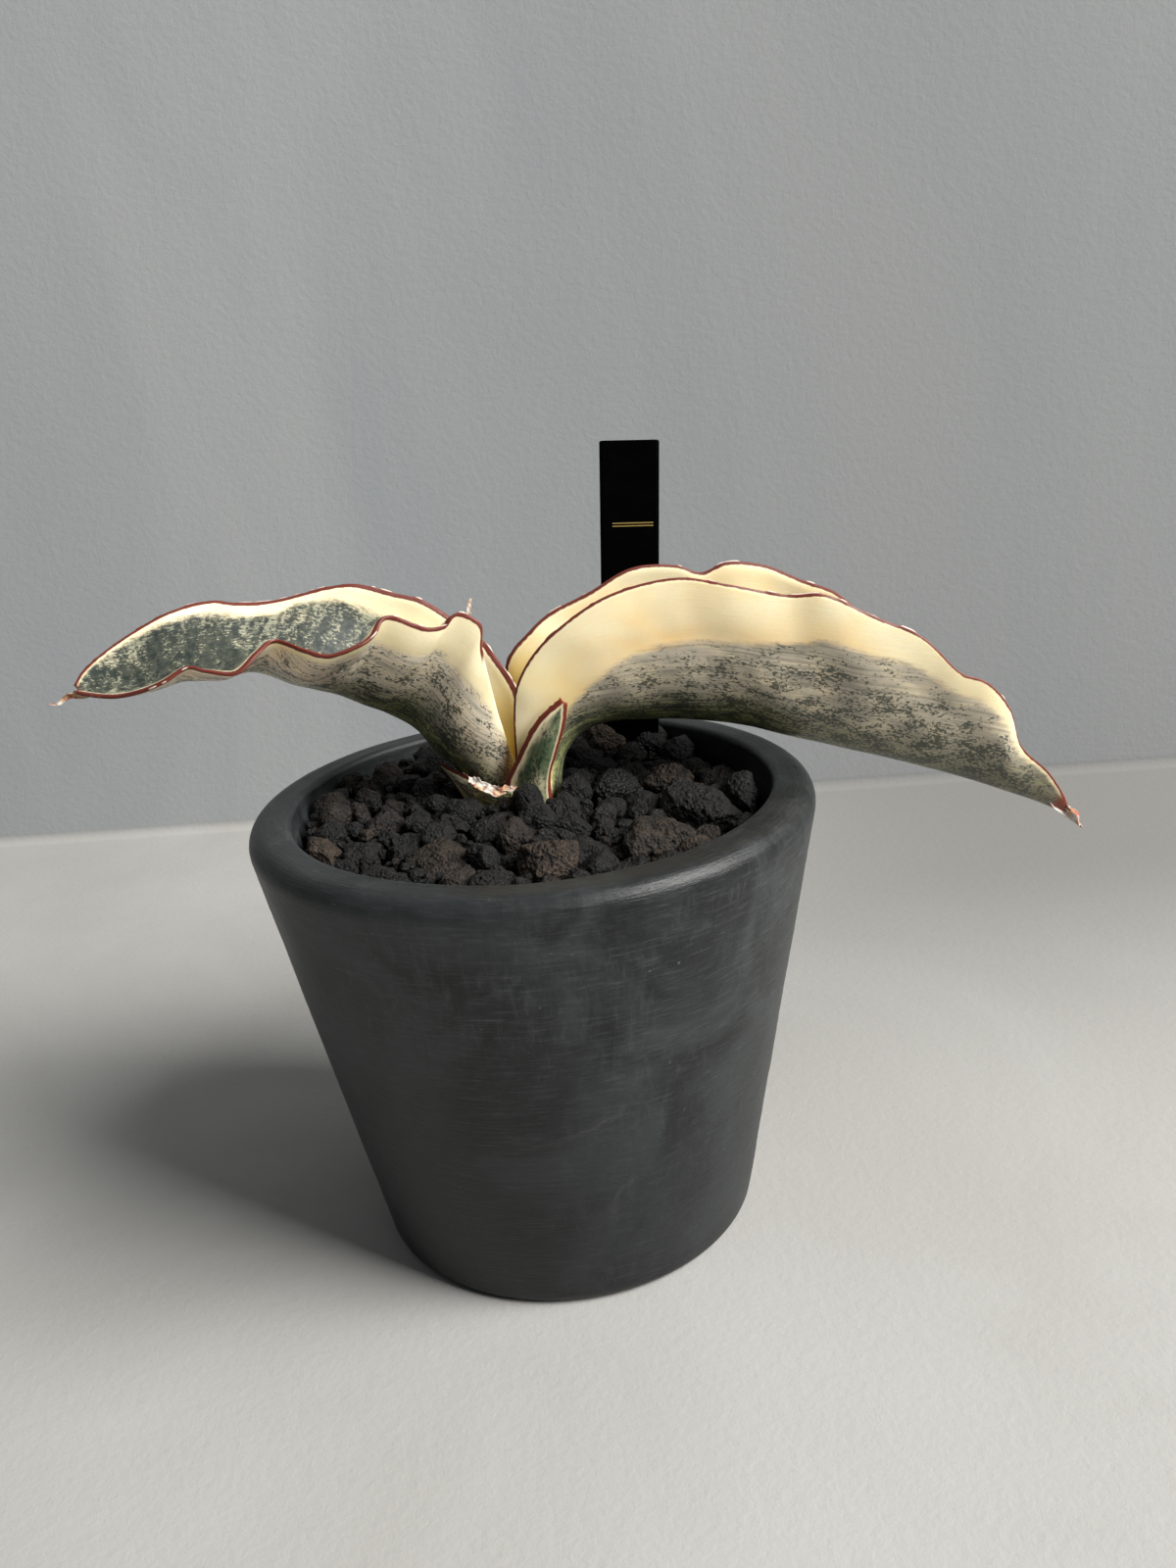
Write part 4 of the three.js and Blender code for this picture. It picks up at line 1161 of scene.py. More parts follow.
@dataclass
class Label:
    """Thin plastic stake with a pointed foot, standing where the frame's label stands."""

    width: float = 13.6
    thickness: float = 0.8
    point: float = 14.0           # length of the pointed foot
    tip: float = 3.0              # width at its end
    corner: float = 0.5
    warp: float = 0.05
    warp_length: float = 25.0
    rows: int = 200
    columns: int = 24

    def surface(self) -> Surface:
        """Flat section with rounded edges, carried from the foot to the top along the label's line.

        Returns:
            The closed surface, mapped in centimetres across and down from the top.
        """
        corners = node_points("plant_label")
        top = corners[corners[:, 2] > corners[:, 2].max() - 1.5].mean(axis=0)
        foot = corners[corners[:, 2] < corners[:, 2].min() + 1.5].mean(axis=0)
        long = float(np.linalg.norm(top - foot))
        up = (top - foot) / long
        across = unit(np.cross([0.0, 1.0, 0.0], up))
        near_top = long - np.linspace(0, 1, 7) * self.corner
        s = np.unique(np.concatenate([np.linspace(0, long, self.rows), near_top]))
        half = np.interp(s, [0, self.point, long], [self.tip / 2, self.width / 2, self.width / 2])
        rounding = np.clip((s - (long - self.corner)) / self.corner, 0, 1)
        half = half - self.corner * (1 - np.sqrt(1 - rounding ** 2))
        v = np.sin(np.linspace(-1, 1, self.columns + 1) * math.pi / 2)
        t = self.thickness / 2 * np.clip((1 - np.abs(v)) * self.width / self.thickness, 0, 1) ** 0.5
        wave = self.warp * layered_noise(np.stack([s / self.warp_length, 0 * s, 0 * s], -1), 5, 2)
        back = np.array([0.0, 1.0, 0.0])
        middle = foot + s[:, None, None] * up + (half[:, None] * v)[..., None] * across
        middle = middle + wave[:, None, None] * back
        depth = (t + 0.02)[None, :, None] * back
        uv = np.stack(np.broadcast_arrays(half[:, None] * v, (long - s)[:, None]), axis=-1) / 10
        face = (0 * uv[..., 0], 0 * uv[..., 0] + 1)
        return sheet_solid(middle - depth, middle + depth, {"inner": face}, uv)

    def build(self, material: bpy.types.Material) -> Surface:
        """Make and settle the label, and hand back its surface."""
        made = self.surface()
        settle(made.object("label_stake", material), "label_plastic", "plant_label")
        return made


# ------------------------------------------------------------------ stones and grains

@dataclass
class Bed:
    """Heights of what lies in the pot's mouth, on a square grid, so that grains settle in the gaps."""

    radius: float
    level: float
    fill_front: float
    fill_back: float
    heap: float = 5.5             # how much higher the grains lie against the shoot
    heap_spread: float = 220.0    # square millimetres; the heap falls off as a bell round the shoot
    pitch: float = 0.5            # side of a cell
    footprint: float = 0.75       # share of a grain's radius that looks for support
    support: float = 0.7          # share of the footprint's cells that lie under a grain's seat
    sit: float = 0.35             # how far a grain's middle lies over its seat, in radii

    def __post_init__(self) -> None:
        """Start with a level bed, to be filled higher from the front right to the back left."""
        self.count = int(2 * self.radius / self.pitch) + 1
        axis = np.linspace(-self.radius, self.radius, self.count)
        self.x, self.y = np.meshgrid(axis, axis, indexing="ij")
        self.height = np.full_like(self.x, self.level)
        self.taken = np.zeros_like(self.x, dtype=bool)
        rise = np.clip((0.75 * self.y - 0.66 * self.x + 18.0) / 44.0, 0, 1)
        crown = np.exp(-(self.x ** 2 + (self.y + 8.0) ** 2) / self.heap_spread)
        self.fill = self.fill_front + (self.fill_back - self.fill_front) * rise + self.heap * crown

    def cells(self, points: Array) -> tuple[Array, Array]:
        """Grid cell of each point, kept inside the grid."""
        index = np.round((points[:, :2] + self.radius) / self.pitch).astype(int)
        index = np.clip(index, 0, self.count - 1)
        return index[:, 0], index[:, 1]

    def cover(self, points: Array) -> None:
        """Raise the bed to the points that lie above it."""
        np.maximum.at(self.height, self.cells(points), points[:, 2])

    def reserve(self, points: Array) -> None:
        """Keep grains out of the cells under these points and next to them."""
        i, j = self.cells(points)
        for di, dj in itertools.product((-1, 0, 1), repeat=2):
            self.taken[np.clip(i + di, 0, self.count - 1), np.clip(j + dj, 0, self.count - 1)] = True

    def lay(self, size: float, rng: np.random.Generator, tries: int = 14) -> Array | None:
        """Find the lowest of some random places for a grain, and raise the bed by it.

        Args:
            size: the grain's radius.
            rng: source of the random places.
            tries: number of places looked at.

        Returns:
            The grain's centre, or None where every place was taken or full.
        """
        best: Array | None = None
        least = 0.0
        for _ in range(tries):
            reach = (self.radius - size) * math.sqrt(rng.random())
            angle = 2 * math.pi * rng.random()
            x, y = reach * math.cos(angle), reach * math.sin(angle)
            near = (self.x - x) ** 2 + (self.y - y) ** 2 < (self.footprint * size) ** 2
            if self.taken[near].any() or not near.any():
                continue
            z = float(np.quantile(self.height[near], self.support)) + self.sit * size
            over = z - float(self.fill[near].mean())
            if over < least:
                best, least = np.array([x, y, z]), over
        if best is not None:
            away = (self.x - best[0]) ** 2 + (self.y - best[1]) ** 2
            near = away < size ** 2
            dome = best[2] + np.sqrt(np.maximum(0, size ** 2 - away[near]))
            self.height[near] = np.maximum(self.height[near], dome)
        return best


@dataclass
class Stones:
    """Dressing of lava stones: a bubbly rock for each CAD stone, five more by the label, and grains."""

    rows: int = 70
    columns: int = 136
    count: int = 37
    flats: int = 11
    sharp: float = 6.0            # how crisp the edges between flats are, per millimetre
    level: float = 92.5           # height that the loose grains fill to at the front right
    level_back: float = 97.0      # the same at the back left
    clear_over: float = 8.0       # grains keep clear of what lies lower than this over the crown
    rough_mm: float = 0.30
    nodule_mm: float = 0.36
    nodule_pitch: float = 3.1
    crumb_mm: float = 0.24
    crumb_pitch: float = 1.25
    wide_pit_mm: float = 0.8
    wide_pit_pitch: float = 2.9
    small_pit_mm: float = 0.36
    small_pit_pitch: float = 1.1
    lowered: float = 0.35         # taken off again, so that the rock keeps its size
    brown: dict[int, float] = field(default_factory=lambda: {
        1: 0.9, 5: 0.55, 13: 0.75, 15: 0.5, 19: 0.8, 20: 1.0, 3: 0.25, 8: 0.3, 22: 0.35, 27: 0.3})
    by_label: tuple[tuple[float, ...], ...] = (   # middle, radius and brown share
        (18.8, 37.0, 96.2, 6.4, 1.0), (29.8, 37.5, 95.0, 5.0, 0.0), (24.5, 31.0, 94.0, 4.2, 0.1),
        (36.0, 30.0, 94.2, 4.8, 0.0), (10.5, 33.0, 95.5, 4.6, 0.1))
    gloss: dict[int, float] = field(default_factory=lambda: {17: 0.8, 6: 0.3, 16: 0.2})

    def relief(self, places: Array, size: Array | float, seed: int) -> tuple[Array, Array]:
        """Height of the rock's surface over its smooth shape, and how deep in a pit each point is.

        The height is lumps and roughness from layered noise, plus two sizes of round nodules, less two
        sizes of pits. A nodule or a pit falls off with the distance from a random bubble centre.

        Args:
            places: points on the smooth rock.
            size: the rock's size, which the lumps follow.
            seed: pattern number.

        Returns:
            Heights in millimetres and pit shares from 0 to 1, which the finish paints as shade.
        """
        lumps = 0.05 * size * layered_noise(places / (0.36 * size), seed, 3)
        rough = self.rough_mm * layered_noise(places / 1.5, seed + 17, 4)
        warped = places + 0.5 * layered_noise(places / 2.0, seed + 23, 2)[..., None]
        nodule = np.clip(1 - (bubble_distance(warped / self.nodule_pitch, seed + 3) / 0.72) ** 2, 0, 1)
        crumb = np.clip(1 - (bubble_distance(warped / self.crumb_pitch, seed + 4) / 0.72) ** 2, 0, 1)
        wide = np.clip(1 - bubble_distance(places / self.wide_pit_pitch, seed + 1) / 0.22, 0, 1)
        small = np.clip(1 - bubble_distance(places / self.small_pit_pitch, seed + 2) / 0.34, 0, 1)
        # share of painted shade: in the pits and in the hollows between the nodules
        pit = np.maximum(np.maximum(wide, 0.7 * small), np.clip(0.35 - nodule, 0, 0.35) * 2)
        heights = lumps + rough + self.nodule_mm * nodule + self.crumb_mm * crumb - self.lowered
        return heights - self.wide_pit_mm * wide ** 0.8 - self.small_pit_mm * small, pit

    def rock(self, index: int) -> Surface:
        """One stone: the body inside the CAD stone's own face planes and some random flats, with relief.

        In each direction the reach is the soft minimum of the distances to the planes:
        minus the logarithm of the sum of exp(-sharp * distance), over sharp.

        Args:
            index: the stone's number, from 1.

        Returns:
            The closed surface with its tint, gloss and pit shares for the painted shade.
        """
        name = f"lava_stone_{index:02d}"
        corners = node_points(name)
        centre = corners.mean(axis=0)
        directions, faces = globe(self.rows, self.columns)
        directions = directions @ turns(1, np.random.default_rng(700 + index))[0].T
        rng = np.random.default_rng(900 + index)
        own, own_depth = node_flats(name, centre)
        extra = unit(rng.normal(size=(self.flats, 3)))
        extra_depth = ((corners - centre) @ extra.T).max(axis=0) * rng.uniform(0.70, 0.95, self.flats)
        facing = directions @ np.vstack([own, extra]).T
        depth = np.concatenate([own_depth * 1.03 + 0.25, extra_depth + 0.25])
        cut = np.where(facing > 0.1, depth / np.maximum(facing, 0.1), 99.0)
        nearest = cut.min(axis=1)
        smooth = nearest - np.log(np.exp(-self.sharp * (cut - nearest[:, None])).sum(axis=1)) / self.sharp
        places = directions * smooth[:, None]
        height, pit = self.relief(places, float(np.mean(smooth)) * 2, index * 10)
        points = centre + directions * (smooth + height)[:, None]
        values = {"tint": np.full(len(points), self.brown.get(index, 0.0)),
                  "gloss": np.full(len(points), self.gloss.get(index, 0.0)), "pit": pit}
        return Surface(points, faces, values).facing_out()

    def grains(self, bed: Bed, count: int, sizes: tuple[float, float], detail: tuple[int, int],
               seed: int) -> Surface:
        """Loose grains laid one by one in the lowest free places, all as one surface.

        Args:
            bed: what already lies in the pot.
            count: number of grains.
            sizes: least and greatest radius.
            detail: rows and columns of each grain's mesh.
            seed: source of the random draws.

        Returns:
            One surface.
        """
        rng = np.random.default_rng(seed)
        radius = np.sort(rng.uniform(*sizes, count))[::-1]
        laid = [(r, bed.lay(r, rng)) for r in radius]
        kept = [(r, spot) for r, spot in laid if spot is not None]
        size = np.array([r for r, _ in kept])
        centre = np.array([spot for _, spot in kept])
        tint = rng.choice([0.0, 0.1, 0.35, 0.8], len(kept), p=[0.62, 0.23, 0.1, 0.05])
        return self.angular(centre, size, tint, detail, seed)

    def angular(self, centre: Array, size: Array, tint: Array, detail: tuple[int, int],
                seed: int) -> Surface:
        """Angular lumps at given places: balls cut by random flats, stretched, with the rock's relief.

        Args:
            centre: their middles.
            size: their radii.
            tint: share of brown in each.
            detail: rows and columns of each one's mesh.
            seed: source of the random draws.

        Returns:
            One surface.
        """
        rng = np.random.default_rng(seed + 5000)
        directions, faces = globe(*detail)
        count = len(size)
        stretch = rng.uniform(0.72, 1.2, (count, 1, 3))
        flats = unit(rng.normal(size=(count, 9, 3)))
        facing = np.einsum("pj,nkj->npk", directions, flats)
        depth = rng.uniform(0.62, 0.98, (count, 1, 9))
        cut = np.where(facing > 0.2, depth / np.maximum(facing, 0.2), 9.0).min(axis=2)
        shaped = directions[None] * np.minimum(cut, 1.0)[..., None] * stretch * size[:, None, None]
        shift = rng.uniform(-400, 400, (count, 1, 3))
        lumps = 0.16 * size[:, None] * layered_noise((shaped / size[:, None, None] + shift) * 1.5, seed, 2)
        pit = np.zeros_like(lumps)
        if detail[0] > 8:         # crumbs are too small to show nodules and pits
            fine, pit = self.relief(shaped + shift, 0.0001, seed)
            lumps = lumps + 0.75 * fine
        shaped = shaped + directions[None] * lumps[..., None]
        shaped = np.einsum("nij,nkj->nki", turns(count, rng), shaped) + centre[:, None]
        step = len(directions) * np.arange(count)[:, None, None]
        tint = np.repeat(tint, len(directions))
        # painted shade: the smaller the grain, the darker, for the shade in the gaps between the stones
        gap_shade = np.clip(1.1 - size[:, None] / 3.0, 0.0, 0.75)
        values = {"tint": tint, "gloss": 0 * tint, "pit": np.maximum(pit, gap_shade).ravel()}
        return Surface(shaped.reshape(-1, 3), (faces[None] + step).reshape(-1, 4), values).facing_out()

    def build(self, material: bpy.types.Material, leaves: Sequence[Surface], label: Array,
              radius: float) -> None:
        """Make every stone and the grains between them.

        Args:
            material: the rock finish.
            leaves: surfaces that grains keep clear of.
            label: points of the label that grains keep clear of.
            radius: inside radius of the pot at the bed.
        """
        bed = Bed(radius, CROWN_Z - 1.0, self.level, self.level_back)
        for points in (*(surface.points for surface in leaves), label):
            bed.reserve(points[points[:, 2] < CROWN_Z + self.clear_over])
        for index in range(1, self.count + 1):
            rock = self.rock(index)
            bed.cover(rock.points)
            piece = rock.object(f"lava_rock_{index:02d}", material, smooth=False)
            settle(piece, "lava", f"lava_stone_{index:02d}")
        by_label = np.array(self.by_label)
        rocks = self.angular(by_label[:, :3], by_label[:, 3], by_label[:, 4], (40, 78), 77)
        bed.cover(rocks.points)
        settle(rocks.object("lava_by_label", material, smooth=False), "lava")
        for part, sizes in enumerate(((3.6, 5.2), (2.6, 4.2), (1.8, 3.0))):
            medium = self.grains(bed, 80, sizes, (17, 34), 300 + part)
            settle(medium.object(f"lava_grains_{part + 1}", material, smooth=False), "lava")
        small = self.grains(bed, 500, (0.7, 1.6), (5, 8), 320)
        settle(small.object("lava_crumbs", material, smooth=False), "lava")


# ------------------------------------------------------------------ the plant's own shapes

def right_leaf() -> Leaf:
    """The longer leaf, arching to the right: cream over a speckled keel."""
    return Leaf(
        name="right_leaf", ripple=0.2, hand=Hand.RIGHT, seed=3,
        keel=((6.5, 12, -6), (7, 12, 6.5), (8.5, 12, 13), (12.5, 12, 17.5), (18, 12, 19.1), (27, 12, 18.7),
              (44, 11, 16.5), (67.5, 9, 9.3), (89.3, 6, 2.4), (105, 3, -3.4), (114.5, 1.6, -7.6),
              (117.8, 0.7, -9.4)),
        front=((-3, 4.5, -6), (-3.1, 3, 8.5), (-2.8, 2, 15.7), (-2.2, 1, 25.9), (-1, 0, 31.9),
               (3.2, -0.5, 38.5), (9.8, -1, 44.1), (19.4, -1, 49.2), (33.6, -1, 51.5), (43.4, -2, 49.5),
               (56.9, -2, 45.9), (63.6, -3, 45.6), (74.1, -4, 40.1), (83.5, -5, 35.3), (92.3, -5, 26.5),
               (97.4, -5, 24.3), (103.1, -4, 17.5), (106.3, -3, 8.5), (112.9, -2, 1.6),
               (117.4, -1, -5.4), (118.6, 0, -8.6)),
        rear=((-3, 21, -6), (-3, 22, 8.5), (-3.4, 22, 19.5), (-2.8, 20.5, 32.4), (2.9, 21, 38.7),
              (7.6, 22, 42.1), (16.7, 22, 45.9), (26.9, 22, 50.6), (36.7, 22, 50.2), (42.1, 22, 48.1),
              (47.7, 22, 49.8), (56.5, 22, 48.4), (64.7, 20, 44.6), (71.3, 18, 41.8), (76.3, 15.5, 37.3),
              (84, 13.5, 31.5), (92, 11.5, 24.5), (99, 10, 17), (106.5, 7.5, 7), (113, 4.5, -1),
              (118.4, 1.8, -8.2)),
        floor=((0, 6), (0.1, 7), (0.3, 9), (0.6, 8), (0.85, 5), (1, 0.8)),
        belly=((0, 1.5), (0.15, 2.5), (0.4, 4), (0.7, 3), (1, 0.3)),
        keel_thickness=((0, 4.5), (0.25, 4), (0.6, 3.2), (0.85, 2), (1, 0.9)),
        front_border=((0, 0.48), (0.15, 0.48), (0.227, 0.55), (0.288, 0.61), (0.331, 0.65), (0.452, 0.66),
                      (0.532, 0.74), (0.679, 0.81), (0.763, 0.85), (0.803, 0.85), (0.843, 0.88),
                      (0.92, 0.95), (1, 0.98)),
        front_folds=((0, 0), (0.22, 0.3), (0.42, 0.8), (0.54, 0.5), (0.63, -0.6), (0.74, 0.9), (0.85, -0.7),
                     (0.92, 0.3), (1, 0)),
        rear_folds=((0, 0), (0.3, 1.0), (0.42, -0.8), (0.55, 1.2), (0.7, -0.5), (0.85, 0.5), (1, 0)),
        rear_border=((0, 0.55), (0.15, 0.72), (0.25, 0.78), (0.4, 0.80), (0.6, 0.82), (0.85, 0.86),
                     (1, 0.95)),
    )


def left_leaf() -> Leaf:
    """The shorter leaf, arching to the left, opened towards the front: mostly speckled green."""
    return Leaf(
        name="left_leaf", hand=Hand.LEFT, seed=7,
        keel=((-12.5, 12, -6), (-13.2, 11.5, 7.5), (-16, 11, 12.5), (-19.8, 10, 16.5), (-23.9, 10, 22.1),
              (-35.4, 8, 30), (-48.2, 6, 36.9), (-55.3, 5, 39.7), (-67.9, 2, 40.6), (-82.1, 0, 39.2),
              (-89.6, -1, 39.4)),
        front=((-2, 8, -6), (-2.2, 7.5, 9.5), (-3.9, 4, 17.3), (-5.8, -1, 29.1), (-7.2, -3.5, 41.3),
               (-6.9, -4, 46.3), (-11.3, -5, 49.2), (-13.6, -6, 47.2), (-17.5, -7, 47.2),
               (-24.8, -9, 50.5), (-27.4, -12, 47.6), (-30, -14, 46.4), (-36.2, -15, 44.9),
               (-40.8, -14, 46.4), (-47, -10, 48.1), (-49.4, -14, 46.7), (-53.7, -17, 43.6),
               (-60.3, -15, 44.3), (-63.7, -13, 44.9), (-68.8, -14, 42.5), (-78.7, -10, 39.5),
               (-87, -4.5, 39.3), (-90.4, -1.8, 39.6)),
        rear=((-2, 16, -6), (-1.2, 16.3, 9.5), (-0.6, 16, 19.5), (-1.2, 16, 26.9), (-5.6, 18, 35.5),
              (-7.9, 20, 38.2), (-13.7, 22, 43), (-19.9, 22, 47.7), (-26.3, 22, 49.9), (-33.9, 22, 52.5),
              (-39.9, 22, 52.4), (-52.2, 20, 50.7), (-59.5, 18, 51.3), (-64.2, 18, 52.2),
              (-72.6, 15, 51.2), (-82.6, 10, 47.1), (-89.2, 3.5, 42.8), (-90.6, 0.3, 40.6)),
        floor=((0, 5), (0.12, 6), (0.35, 8), (0.6, 9), (0.85, 6), (1, 0.8)),
        belly=((0, 2.5), (0.15, 3.5), (0.3, 5), (0.45, 3), (0.7, 1), (1, 0)),
        keel_thickness=((0, 4.5), (0.25, 4), (0.6, 3), (0.85, 1.8), (1, 0.8)),
        front_border=((0, 1.0), (0.157, 1.0), (0.204, 0.96), (0.254, 0.91), (0.304, 0.81), (0.351, 0.69),
                      (0.411, 0.79), (0.478, 0.80), (0.545, 0.91), (0.7, 0.95), (1, 0.96)),
        rear_border=((0, 0.45), (0.25, 0.6), (0.45, 0.75), (0.6, 0.85), (0.85, 0.86), (1, 0.95)),
        inside_rear=((0, 0.0), (0.42, 0.0), (0.468, 0.80), (0.542, 0.84), (0.619, 0.90), (0.652, 0.81),
                     (0.716, 0.83), (0.803, 0.86), (0.886, 0.91), (1, 0.93)),
        front_paper=((0, 0), (0.296, 0), (0.308, 1), (1, 1)),
        front_folds=((0, 0), (0.3, 0), (0.37, 0.4), (0.42, -0.3), (0.52, 0.5), (0.6, -0.5), (0.7, 0.4),
                     (1, 0)),
        rear_folds=((0, 0), (0.3, 0.8), (0.5, -0.6), (0.64, 0.9), (0.76, -0.5), (1, 0)),
    )


def front_leaf() -> Leaf:
    """The small leaf that sheathes the shoot at the front."""
    return Leaf(
        name="front_leaf", hand=Hand.RIGHT, seed=12, margin=0.7, rows=150, columns=40, ripple=0.12,
        keel=((0.8, -0.8, -6), (0.4, -1.4, 7), (2, -2.4, 14), (5.2, -2.8, 21.5), (8.5, -2, 28)),
        front=((-4.6, 1.6, -6), (-5.9, 0.8, 9), (-2.4, -0.2, 16.3), (2.6, -1.6, 24.6), (7.9, -2.4, 28.9)),
        rear=((5.4, 0.8, -6), (4.2, 0.2, 11), (6, -0.5, 16.5), (8.2, -1, 22.5), (9.2, -1.6, 27.6)),
        floor=((0, 1.6), (0.5, 1.6), (1, 0.2)),
        belly=((0, 0.2), (1, 0)),
        keel_thickness=((0, 1.2), (0.7, 1), (1, 0.7)),
        front_border=((0, 0.80), (0.5, 0.72), (1, 0.6)),
        rear_border=((0, 0.98), (1, 0.98)),
    )


def dry_scale() -> Leaf:
    """The old scale that lies on the stones, left of the shoot."""
    return Leaf(
        name="dry_scale", hand=Hand.LEFT, seed=15, margin=0.5, rows=120, columns=36, ripple=0.35,
        keel=((-4.5, -1.4, 6.5), (-8.5, 0, 6.3), (-12.5, 3.2, 7.6), (-16.6, 6, 11.1), (-19.2, 7.4, 13.6)),
        front=((-4.2, -1.2, 10.2), (-8.3, 0.4, 10.2), (-12.7, 3.6, 11.4), (-16.4, 5.8, 13),
               (-19.4, 7.2, 14.6)),
        rear=((-4.8, -0.8, 1), (-8.8, 1, 1), (-13, 4, 2.6), (-16.9, 7.4, 9.4), (-19.1, 8.6, 12.8)),
        floor=((0, 0.8), (1, 0.3)),
        belly=((0, 0.3), (1, 0)),
        keel_thickness=((0, 0.8), (1, 0.6)),
        front_border=((0, 1.0), (1, 1.0)),
        rear_border=((0, 1.0), (1, 1.0)),
    )


@dataclass
class DryEnds:
    """Dried tips, flakes and shreds at the ends and edges of the leaves."""

    def strips(self) -> dict[str, list[Strip]]:
        """The strips of each piece, with heights from the pot's underside."""
        z = CROWN_Z
        return {
            "right_leaf_tip": [
                Strip(((114.5, 1.2, z - 5.5), (117, 0.6, z - 7.6), (119.3, -0.4, z - 9.6),
                       (121.6, -1.2, z - 12.6)),
                      ((0, 3.4), (0.5, 2.2), (1, 0.3)), ((0, 60), (1, 150)), cup=0.45),
                Strip(((118, 0, z - 8), (119.8, -1.2, z - 9), (120.6, -1.8, z - 11.8)),
                      ((0, 1.6), (1, 0.25)), ((0, 20), (1, 80)), seed=17),
            ],
            "left_leaf_tip": [
                Strip(((-88, -1.2, z + 39.5), (-91.4, -1.4, z + 39.2), (-93.6, -1.9, z + 37.8),
                       (-95.6, -2, z + 37.9)),
                      ((0, 2.2), (0.5, 1.1), (1, 0.2)), ((0, 30), (1, 120)), cup=0.4, seed=23),
            ],
            "left_leaf_flake": [
                Strip(((-9.2, 1, z + 45), (-9.3, 0.4, z + 48.4), (-8.7, 0.6, z + 51)),
                      ((0, 1.3), (0.6, 1.0), (1, 0.4)), ((0, 70), (1, 110)), seed=29),
            ],
            "dry_scale_shreds": [
                Strip(((-12.9, 1.4, z + 11.8), (-10.6, -1.6, z + 11.2), (-7.4, -3.2, z + 10.2),
                       (-3.8, -3.0, z + 10.6)),
                      ((0, 1.8), (0.5, 2.3), (1, 0.8)), ((0, 30), (1, 80)), rough=0.5, seed=31),
                Strip(((-12.6, 2.4, z + 12), (-12.8, 0.2, z + 10.8), (-11.6, -1.6, z + 10.0)),
                      ((0, 1.8), (1, 0.7)), ((0, 80), (1, 10)), rough=0.4, seed=37),
                Strip(((-6, -2.6, z + 10.6), (-4.4, -3.4, z + 10.2), (-2.8, -3.0, z + 10.6)),
                      ((0, 1.6), (1, 0.4)), ((0, 40), (1, 70)), rough=0.4, seed=41),
            ],
        }

    def build(self, material: bpy.types.Material) -> None:
        """Make and settle every dried piece."""
        for name, strips in self.strips().items():
            whole = joined([strip.surface() for strip in strips])
            settle(whole.object(name, material), "dry_leaf")


# ------------------------------------------------------------------ studio

